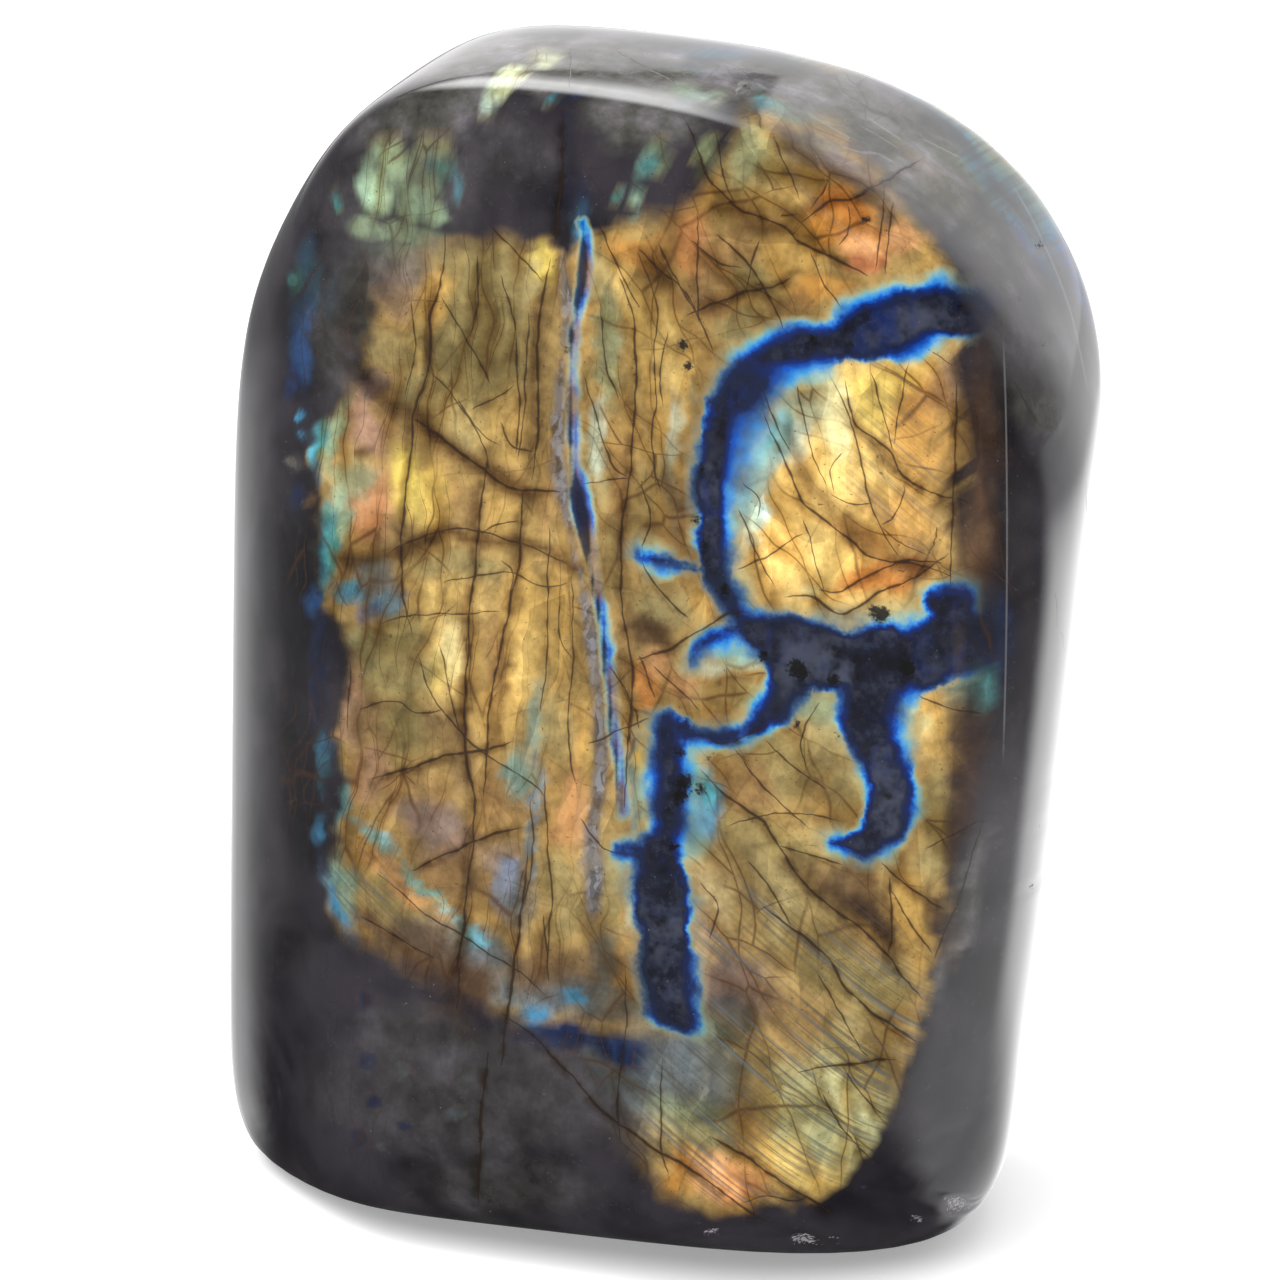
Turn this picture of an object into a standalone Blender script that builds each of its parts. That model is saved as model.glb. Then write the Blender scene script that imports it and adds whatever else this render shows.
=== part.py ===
"""Labradorite freeform: a polished standing stone with a broad flat face, ground all round and sawn flat beneath."""

import math

import bmesh
import bpy
from mathutils import Vector

# Sizes in metres. The broad polished face looks along -Y and the stone stands on Z = 0.
MIDDLE_HEIGHT = 0.075       # height of the point that every ground facet is measured from
CUBE_SIZE = 2.0             # edge of the starting cube, so that its points lie between -1 and 1
CUBE_CUTS = 27              # cuts along each edge of the starting cube
EDGE_CROWDING = 0.6         # share of the point spacing that is drawn towards the rounded edges
POINT_SPREAD = (0.055, 0.028, 0.075)    # half sizes of the box that the starting points are spread over

# How sharply neighbouring facets meet: the larger, the flatter the facets and the tighter the edges.
MEETING_SHARPNESS = 14.0

# The soft hollow low on the right-hand side.
HOLLOW_AZIMUTH = 108.0      # degrees round the stone from the broad face, towards +X
HOLLOW_ELEVATION = 1.0      # degrees above the middle
HOLLOW_SPREAD = 24.0        # degrees from its centre to where it fades
HOLLOW_DEPTH = 0.036        # share of the local distance taken away at its centre

SAW_CLEARANCE = 1e-6        # metres from the saw cut at which a point counts as lying on it
SHARP_ANGLE = 40.0          # degrees; edges that turn more than this are shaded as sharp


def ground_facets():
    """Each facet of the stone: azimuth from the broad face, elevation, distance from the middle."""
    return {
        "broad face": (0, 4, 0.0255),
        "back": (182, 6, 0.0260),
        "base": (0, -90, 0.0760),
        "top": (15, 82, 0.0743),
        "brow": (0, 45, 0.0720),
        "right of top": (75, 56, 0.0765),
        "right shoulder": (95, 24, 0.0730),
        "right side": (104, -7, 0.0603),
        "right front edge": (55, 0, 0.0620),
        "low right front": (42, -16, 0.0610),
        "low right corner": (85, -50, 0.0950),
        "left side": (268, 2, 0.0513),
        "left front edge": (322, 1, 0.0372),
        "left shoulder": (275, 36, 0.0640),
        "left of top": (285, 58, 0.0868),
        "low left corner": (280, -50, 0.1007),
        "foot of broad face": (5, -50, 0.0716),
        "left back edge": (225, 2, 0.0420),
        "right back edge": (145, -6, 0.0518),
        "top of back": (180, 48, 0.0698),
    }


def facing(azimuth, elevation):
    """Unit direction at an azimuth from -Y towards +X and an elevation, both in degrees."""
    turn = math.radians(azimuth)
    rise = math.radians(elevation)
    return Vector((math.sin(turn) * math.cos(rise), -math.cos(turn) * math.cos(rise), math.sin(rise)))


def ground_distance(direction, facets, hollow):
    """Distance from the middle to the polished surface along a unit direction."""
    total = 0.0
    for normal, distance in facets:
        lean = direction.dot(normal) / distance
        if lean > 0.0:
            total += lean ** MEETING_SHARPNESS
    reach = total ** (-1.0 / MEETING_SHARPNESS)
    away = math.degrees(direction.angle(hollow)) / HOLLOW_SPREAD
    return reach * (1.0 - HOLLOW_DEPTH * math.exp(-away * away))


def crowded(value):
    """Draws a value between -1 and 1 towards its ends, where the rounded edges need more points."""
    return (1.0 - EDGE_CROWDING) * value + EDGE_CROWDING * math.sin(value * math.pi / 2.0)


def starting_cube():
    """A cube of half size one, cut into an even grid on each side."""
    shape = bmesh.new()
    bmesh.ops.create_cube(shape, size=CUBE_SIZE)
    bmesh.ops.subdivide_edges(shape, edges=shape.edges[:], cuts=CUBE_CUTS, use_grid_fill=True)
    return shape


def grind(shape):
    """Moves every point of the starting cube out or in to the polished surface."""
    facets = [(facing(azimuth, elevation), distance)
              for azimuth, elevation, distance in ground_facets().values()]
    hollow = facing(HOLLOW_AZIMUTH, HOLLOW_ELEVATION)
    middle = Vector((0.0, 0.0, MIDDLE_HEIGHT))
    for point in shape.verts:
        spread = [crowded(value) * half for value, half in zip(point.co, POINT_SPREAD)]
        direction = Vector(spread).normalized()
        point.co = middle + direction * ground_distance(direction, facets, hollow)


def saw_base(shape):
    """Cuts the underside flat at Z = 0 and closes it with one face."""
    everything = shape.verts[:] + shape.edges[:] + shape.faces[:]
    bmesh.ops.bisect_plane(shape, geom=everything, dist=SAW_CLEARANCE, plane_co=(0.0, 0.0, 0.0),
                           plane_no=(0.0, 0.0, 1.0), clear_inner=True)
    rim = [edge for edge in shape.edges if edge.is_boundary]
    bmesh.ops.contextual_create(shape, geom=rim)


def centre_over_origin(shape):
    """Slides the stone so that the middle of its footprint box is over the origin."""
    across = [point.co.x for point in shape.verts]
    through = [point.co.y for point in shape.verts]
    offset = Vector((-(min(across) + max(across)) / 2.0, -(min(through) + max(through)) / 2.0, 0.0))
    bmesh.ops.translate(shape, verts=shape.verts[:], vec=offset)


def polished_stone_material():
    """Dark grey feldspar with a high polish."""
    material = bpy.data.materials.new("polished_labradorite")
    material.use_nodes = True
    shader = material.node_tree.nodes["Principled BSDF"]
    shader.inputs["Base Color"].default_value = (0.075, 0.068, 0.075, 1.0)
    shader.inputs["Roughness"].default_value = 0.12
    shader.inputs["Metallic"].default_value = 0.0
    return material


def build_stone():
    """The whole stone as one closed mesh object."""
    shape = starting_cube()
    grind(shape)
    saw_base(shape)
    centre_over_origin(shape)
    bmesh.ops.recalc_face_normals(shape, faces=shape.faces[:])
    mesh = bpy.data.meshes.new("stone")
    shape.to_mesh(mesh)
    shape.free()
    mesh.materials.append(polished_stone_material())
    mesh.shade_smooth()
    mesh.set_sharp_from_angle(angle=math.radians(SHARP_ANGLE))
    return bpy.data.objects.new("stone", mesh)


def main():
    for leftover in list(bpy.data.objects):
        bpy.data.objects.remove(leftover, do_unlink=True)
    collection = bpy.data.collections.new("labradorite_freeform")
    bpy.context.scene.collection.children.link(collection)
    collection.objects.link(build_stone())


main()
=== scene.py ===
import math

import bpy
import numpy as np
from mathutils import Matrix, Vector


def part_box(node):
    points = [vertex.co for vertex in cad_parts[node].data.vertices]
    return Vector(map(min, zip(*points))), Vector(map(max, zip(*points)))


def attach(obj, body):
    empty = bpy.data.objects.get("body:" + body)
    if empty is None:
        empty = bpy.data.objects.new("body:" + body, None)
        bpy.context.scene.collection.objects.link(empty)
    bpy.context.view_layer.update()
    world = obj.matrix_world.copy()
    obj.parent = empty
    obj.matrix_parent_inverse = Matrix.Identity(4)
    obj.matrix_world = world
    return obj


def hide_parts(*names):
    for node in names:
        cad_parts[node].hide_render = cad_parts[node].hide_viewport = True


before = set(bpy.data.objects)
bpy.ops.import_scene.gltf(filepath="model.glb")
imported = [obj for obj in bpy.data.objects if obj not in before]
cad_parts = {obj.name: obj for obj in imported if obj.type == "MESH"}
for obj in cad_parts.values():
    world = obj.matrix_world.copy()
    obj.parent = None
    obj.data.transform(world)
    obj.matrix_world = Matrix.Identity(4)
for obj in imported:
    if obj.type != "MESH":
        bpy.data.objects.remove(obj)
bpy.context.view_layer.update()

print("frame loaded")

# The photograph's view, in its own 1280 pixel frame.
photoView = {
    "azimuth": 22.0,            # degrees round from the broad face, towards +X
    "elevation": 16.0,
    "distance": 0.65,           # metres from the aim point
    "aim": (-0.0012, -0.0020, 0.07508),
    "focalPixels": 5205.0,
    "frameSize": 1280,
}


def facing(azimuth, elevation):
    turn, rise = math.radians(azimuth), math.radians(elevation)
    return Vector((math.sin(turn) * math.cos(rise), -math.cos(turn) * math.cos(rise), math.sin(rise)))


def addObject(name, data):
    thing = bpy.data.objects.new(name, data)
    bpy.context.scene.collection.objects.link(thing)
    return thing


def standBack(thing, middle, away, distance):
    # some way off a place, looking at it
    thing.location = Vector(middle) + away * distance
    thing.rotation_euler = (-away).to_track_quat("-Z", "Y").to_euler()


def addCamera():
    data = bpy.data.cameras.new("photoCamera")
    data.sensor_width = 36.0
    data.lens = photoView["focalPixels"] / photoView["frameSize"] * data.sensor_width
    data.clip_start = 0.01
    data.clip_end = 20.0
    camera = addObject("photoCamera", data)
    away = facing(photoView["azimuth"], photoView["elevation"])
    standBack(camera, photoView["aim"], away, photoView["distance"])
    bpy.context.scene.camera = camera
    bpy.context.view_layer.update()
    return camera


def photoPixels(camera, points):
    # where points of the stone fall in the photograph's frame
    look = np.array(camera.matrix_world.inverted())
    seen = points @ look[:3, :3].T + look[:3, 3]
    scale = photoView["focalPixels"] / -seen[:, 2]
    half = photoView["frameSize"] / 2.0
    return np.stack([half + seen[:, 0] * scale, half - seen[:, 1] * scale], axis=1)


camera = addCamera()
print("camera placed")


# Node helpers

def addNode(tree, kind, **settings):
    node = tree.nodes.new(kind)
    for name, value in settings.items():
        setattr(node, name, value)
    return node


def feed(tree, socket, value):
    if isinstance(value, bpy.types.NodeSocket):
        tree.links.new(value, socket)
    elif value is not None:
        socket.default_value = value


def feedAll(tree, node, **values):
    # each value into the socket of its name, with spaces for underscores
    for name, value in values.items():
        feed(tree, node.inputs[name.replace("_", " ")], value)


def calc(tree, operation, first, second=None, third=None):
    node = addNode(tree, "ShaderNodeMath", operation=operation)
    for socket, value in zip(node.inputs, (first, second, third)):
        feed(tree, socket, value)
    return node.outputs["Value"]


def times(tree, first, *others):
    for other in others:
        first = calc(tree, "MULTIPLY", first, other)
    return first


def larger(tree, first, *others):
    for other in others:
        first = calc(tree, "MAXIMUM", first, other)
    return first


def swing(tree, value, middle, size):
    # how far a noise strays from its middle, made larger
    return times(tree, calc(tree, "SUBTRACT", value, middle), size)


def vectorCalc(tree, operation, first, second=None, scale=None):
    node = addNode(tree, "ShaderNodeVectorMath", operation=operation)
    feed(tree, node.inputs[0], first)
    feed(tree, node.inputs[1], second)
    if scale is not None:
        feed(tree, node.inputs["Scale"], scale)
    return node.outputs["Value" if operation == "DOT_PRODUCT" else "Vector"]


def scaled(tree, vector, scale):
    return vectorCalc(tree, "SCALE", vector, scale=scale)


def split(tree, vector):
    node = addNode(tree, "ShaderNodeSeparateXYZ")
    tree.links.new(vector, node.inputs["Vector"])
    return node.outputs


def remap(tree, value, low, high, toLow=0.0, toHigh=1.0, smooth=True):
    node = addNode(tree, "ShaderNodeMapRange", interpolation_type="SMOOTHSTEP" if smooth else "LINEAR")
    feedAll(tree, node, Value=value, From_Min=low, From_Max=high, To_Min=toLow, To_Max=toHigh)
    return node.outputs["Result"]


def linear(colour, alpha=1.0):
    # from everyday 0 to 255 screen values to linear light
    values = [part / 255.0 for part in colour]
    return tuple([v / 12.92 if v <= 0.04045 else ((v + 0.055) / 1.055) ** 2.4 for v in values] + [alpha])


def blend(tree, amount, base, top, mode="MIX"):
    # colours are sockets or screen values
    node = addNode(tree, "ShaderNodeMix", data_type="RGBA", blend_type=mode)
    feed(tree, node.inputs[0], amount)
    sockets = [socket for socket in node.inputs if socket.type == "RGBA"]
    for socket, colour in zip(sockets, (base, top)):
        feed(tree, socket, linear(colour) if isinstance(colour, tuple) else colour)
    return next(socket for socket in node.outputs if socket.type == "RGBA")


def dyed(tree, colour, dye):
    return blend(tree, 1.0, colour, dye, "MULTIPLY")


def rampNode(tree, value, stops):
    # each stop: its place, its colour, and how much of it covers what lies under it
    node = addNode(tree, "ShaderNodeValToRGB")
    ramp = node.color_ramp
    while len(ramp.elements) < len(stops):
        ramp.elements.new(0.5)
    for element, (place, *colour) in zip(ramp.elements, stops):
        element.position = place
        element.color = linear(*colour)
    feed(tree, node.inputs["Fac"], value)
    return node.outputs["Color"], node.outputs["Alpha"]


def noiseNode(tree, where, scale, detail=3.0, roughness=0.5, distortion=0.0):
    node = addNode(tree, "ShaderNodeTexNoise")
    feedAll(tree, node, Vector=where, Scale=scale, Detail=detail, Roughness=roughness, Distortion=distortion)
    return node.outputs


def noise(tree, *settings):
    return noiseNode(tree, *settings)["Fac"]


def mapped(tree, where, place, turn, size):
    node = addNode(tree, "ShaderNodeMapping", vector_type="TEXTURE")
    feedAll(tree, node, Vector=where, Location=place, Rotation=turn, Scale=size)
    return node.outputs["Vector"]


def stretched(tree, where, turn, size, place=(0, 0, 0)):
    # a pattern's own space: turned about the stone's depth, with features of the given size
    return mapped(tree, where, place, (0.0, math.radians(turn), 0.0), size)


def slanting(tree, where):
    # the flash's layers run slantwise through the stone, so its plates and hair cracks are drawn flat:
    # across and up, each shifted a little with the depth
    parts = split(tree, where)
    flat = addNode(tree, "ShaderNodeCombineXYZ")
    feed(tree, flat.inputs["X"], calc(tree, "MULTIPLY_ADD", parts["Y"], 0.35, parts["X"]))
    feed(tree, flat.inputs["Y"], calc(tree, "MULTIPLY_ADD", parts["Y"], 0.45, parts["Z"]))
    return flat.outputs["Vector"]


def flatCells(tree, flat, turn, size, place=(0, 0), feature="F1"):
    # angular pieces on that flat: turned, of the given width and height
    cells = addNode(tree, "ShaderNodeTexVoronoi", feature=feature, voronoi_dimensions="2D")
    where = mapped(tree, flat, (*place, 0.0), (0.0, 0.0, math.radians(-turn)), (*size, 1.0))
    feedAll(tree, cells, Vector=where, Scale=1.0)
    return cells.outputs


def shards(tree, flat, turn, size, width, place=(0, 0)):
    # hair cracks between long angular pieces, and the shading that gathers at their edges
    edge = flatCells(tree, flat, turn, size, place, "DISTANCE_TO_EDGE")["Distance"]
    return remap(tree, edge, 0.0, width, 1.0, 0.0), remap(tree, edge, 0.0, 0.26, 1.0, 0.0)


def remapThree(tree, values, low, high, toLow=0.0, toHigh=1.0):
    # remap, for three values side by side in a vector
    node = addNode(tree, "ShaderNodeMapRange", data_type="FLOAT_VECTOR", interpolation_type="SMOOTHSTEP")
    sockets = {socket.identifier: socket for socket in node.inputs}
    names = ("Vector", "From_Min_FLOAT3", "From_Max_FLOAT3", "To_Min_FLOAT3", "To_Max_FLOAT3")
    for name, given in zip(names, (values, low, high, toLow, toHigh)):
        feed(tree, sockets[name], given if isinstance(given, bpy.types.NodeSocket) else (given, given, given))
    return node.outputs["Vector"]


def greatest(tree, values):
    parts = split(tree, values)
    return larger(tree, parts["X"], parts["Y"], parts["Z"])


def surfaceValue(tree, name, output="Fac"):
    return addNode(tree, "ShaderNodeAttribute", attribute_name=name).outputs[output]


def emptyMaterial(name):
    material = bpy.data.materials.new(name)
    material.use_nodes = True
    material.node_tree.nodes.clear()
    return material, material.node_tree


# The stone's form: flats ground round one middle point, softly meeting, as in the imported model.
stoneForm = {
    "middle height": 0.075,
    "sharpness": 14.0,              # larger gives flatter flats and tighter edges
    "edge crowding": 0.6,
    "point spread": (0.055, 0.028, 0.075),
    "cells": (170, 30, 220),        # across, through and up
    "hollow facing": (108.0, 1.0),
    "hollow spread": 24.0,          # degrees
    "hollow depth": 0.036,
    "flats": {                      # azimuth, elevation, distance from the middle
        "broad face": (0, 4, 0.0255),
        "back": (182, 6, 0.0260),
        "base": (0, -90, 0.0760),
        "top": (15, 82, 0.0743),
        "brow": (0, 45, 0.0720),
        "right of top": (75, 56, 0.0765),
        "right shoulder": (95, 24, 0.0730),
        "right side": (104, -7, 0.0603),
        "right front edge": (55, 0, 0.0620),
        "low right front": (42, -16, 0.0610),
        "low right corner": (85, -50, 0.0950),
        "left side": (268, 2, 0.0513),
        "left front edge": (322, 1, 0.0372),
        "left shoulder": (275, 36, 0.0640),
        "left of top": (285, 58, 0.0868),
        "low left corner": (280, -50, 0.1007),
        "foot of broad face": (5, -50, 0.0716),
        "left back edge": (225, 2, 0.0420),
        "right back edge": (145, -6, 0.0518),
        "top of back": (180, 48, 0.0698),
    },
}


def addStoneInputs(face):
    def entry(name, kind, value):
        socket = face.new_socket(name=name, in_out="INPUT", socket_type="NodeSocket" + kind)
        socket.default_value = value

    face.new_socket(name="Geometry", in_out="OUTPUT", socket_type="NodeSocketGeometry")
    for name in ("middle height", "sharpness", "edge crowding", "hollow depth"):
        entry(name, "Float", stoneForm[name])
    entry("point spread", "Vector", stoneForm["point spread"])
    entry("hollow spread", "Float", math.radians(stoneForm["hollow spread"]))
    for name, cells in zip(("cells across", "cells through", "cells up"), stoneForm["cells"]):
        entry(name, "Int", cells)
    for name, (azimuth, elevation, distance) in stoneForm["flats"].items():
        entry("flat " + name, "Float", distance)


def groundReach(tree, given, direction):
    # how far out the surface lies: the flats softly joined, less the hollow
    total = 0.0
    for name, (azimuth, elevation, distance) in stoneForm["flats"].items():
        lean = vectorCalc(tree, "DOT_PRODUCT", direction, facing(azimuth, elevation))
        share = larger(tree, calc(tree, "DIVIDE", lean, given["flat " + name]), 0.0)
        total = calc(tree, "ADD", calc(tree, "POWER", share, given["sharpness"]), total)
    reach = calc(tree, "POWER", total, calc(tree, "DIVIDE", -1.0, given["sharpness"]))
    nearHollow = vectorCalc(tree, "DOT_PRODUCT", direction, facing(*stoneForm["hollow facing"]))
    away = calc(tree, "DIVIDE", calc(tree, "ARCCOSINE", nearHollow), given["hollow spread"])
    fade = calc(tree, "EXPONENT", times(tree, away, away, -1.0))
    return times(tree, reach, calc(tree, "SUBTRACT", 1.0, times(tree, fade, given["hollow depth"])))


def growStoneTree(material):
    tree = bpy.data.node_groups.new("groundStone", "GeometryNodeTree")
    addStoneInputs(tree.interface)
    given = addNode(tree, "NodeGroupInput").outputs
    cube = addNode(tree, "GeometryNodeMeshCube")
    cube.inputs["Size"].default_value = (2.0, 2.0, 2.0)
    for side, name in (("X", "cells across"), ("Y", "cells through"), ("Z", "cells up")):
        tree.links.new(given[name], cube.inputs["Vertices " + side])

    # even cube points, drawn towards the rounded edges, become directions
    start = addNode(tree, "GeometryNodeInputPosition").outputs["Position"]
    bent = vectorCalc(tree, "SINE", scaled(tree, start, math.pi / 2.0))
    drawn = scaled(tree, bent, given["edge crowding"])
    even = scaled(tree, start, calc(tree, "SUBTRACT", 1.0, given["edge crowding"]))
    spread = vectorCalc(tree, "MULTIPLY", vectorCalc(tree, "ADD", drawn, even), given["point spread"])
    direction = vectorCalc(tree, "NORMALIZE", spread)

    lift = addNode(tree, "ShaderNodeCombineXYZ")
    tree.links.new(given["middle height"], lift.inputs["Z"])
    out = scaled(tree, direction, groundReach(tree, given, direction))
    ground = vectorCalc(tree, "ADD", out, lift.outputs["Vector"])
    stood = vectorCalc(tree, "MAXIMUM", ground, (-1.0, -1.0, 0.0))    # sawn flat at the floor

    shape = cube.outputs["Mesh"]
    for kind, name, value in (("SetPosition", "Position", stood), ("SetShadeSmooth", "Shade Smooth", True),
                              ("RealizeInstances", "Geometry", None), ("SetMaterial", "Material", material)):
        step = addNode(tree, "GeometryNode" + kind)
        feed(tree, step.inputs["Geometry"], shape)
        feed(tree, step.inputs[name], value)
        shape = step.outputs["Geometry"]
    feed(tree, addNode(tree, "NodeGroupOutput").inputs["Geometry"], shape)
    return tree


def meshVectors(mesh, name):
    # the mesh's points, "co", or their normals, "normal"
    values = np.empty(len(mesh.vertices) * 3, dtype=np.float32)
    mesh.vertices.foreach_get(name, values)
    return values.reshape(-1, 3).astype(np.float64)


def setPoints(mesh, points):
    mesh.vertices.foreach_set("co", points.astype(np.float32).ravel())
    mesh.update()


def makeStone(material):
    carrier = addObject("stoneCarrier", bpy.data.meshes.new("stoneCarrier"))
    modifier = carrier.modifiers.new("groundStone", "NODES")
    modifier.node_group = growStoneTree(material)
    for item in modifier.node_group.interface.items_tree:
        if item.in_out == "INPUT":
            value = item.default_value
            modifier[item.identifier] = value if isinstance(value, (int, float)) else list(value)
    bpy.context.view_layer.update()
    ready = carrier.evaluated_get(bpy.context.evaluated_depsgraph_get())
    mesh = bpy.data.meshes.new_from_object(ready)
    carrier.modifiers.clear()
    bpy.data.objects.remove(carrier, do_unlink=True)
    mesh.name = "polishedStone"
    stone = addObject("polishedStone", mesh)
    points = meshVectors(mesh, "co")
    low, high = points.min(axis=0), points.max(axis=0)
    cadLow, cadHigh = [np.array(corner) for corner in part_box("stone")]
    points = cadLow + (points - low) * (cadHigh - cadLow) / (high - low)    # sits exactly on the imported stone
    setPoints(mesh, points)
    print("stone ground:", len(mesh.vertices), "points")
    return stone


# Marks seen in the photograph, drawn in its pixel frame

palette = {
    "field": (158, 126, 78), "smoke": (58, 54, 52), "paintedDark": (24, 25, 30), "slate": (84, 90, 98),
    "ash": (104, 96, 92), "mauve": (112, 92, 92), "umber": (84, 60, 44), "bark": (108, 82, 58),
    "brown": (134, 100, 64), "olive": (124, 106, 68), "khaki": (154, 134, 92), "gold": (182, 142, 80),
    "paleGold": (212, 174, 108), "cream": (226, 208, 158), "amber": (196, 136, 68),
    "orange": (200, 124, 60), "apricot": (188, 132, 94), "rust": (168, 98, 66), "rose": (158, 118, 100),
    "lemon": (210, 178, 90), "sage": (132, 144, 116), "mint": (158, 182, 158), "teal": (80, 136, 138),
    "cyan": (90, 176, 204), "ice": (196, 218, 214), "steel": (62, 118, 156), "blue": (44, 82, 136),
    "navy": (28, 40, 74), "periwinkle": (122, 132, 164), "glow": (246, 200, 122),
    "paleLemon": (206, 206, 164), "peach": (234, 168, 116),
}

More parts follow.
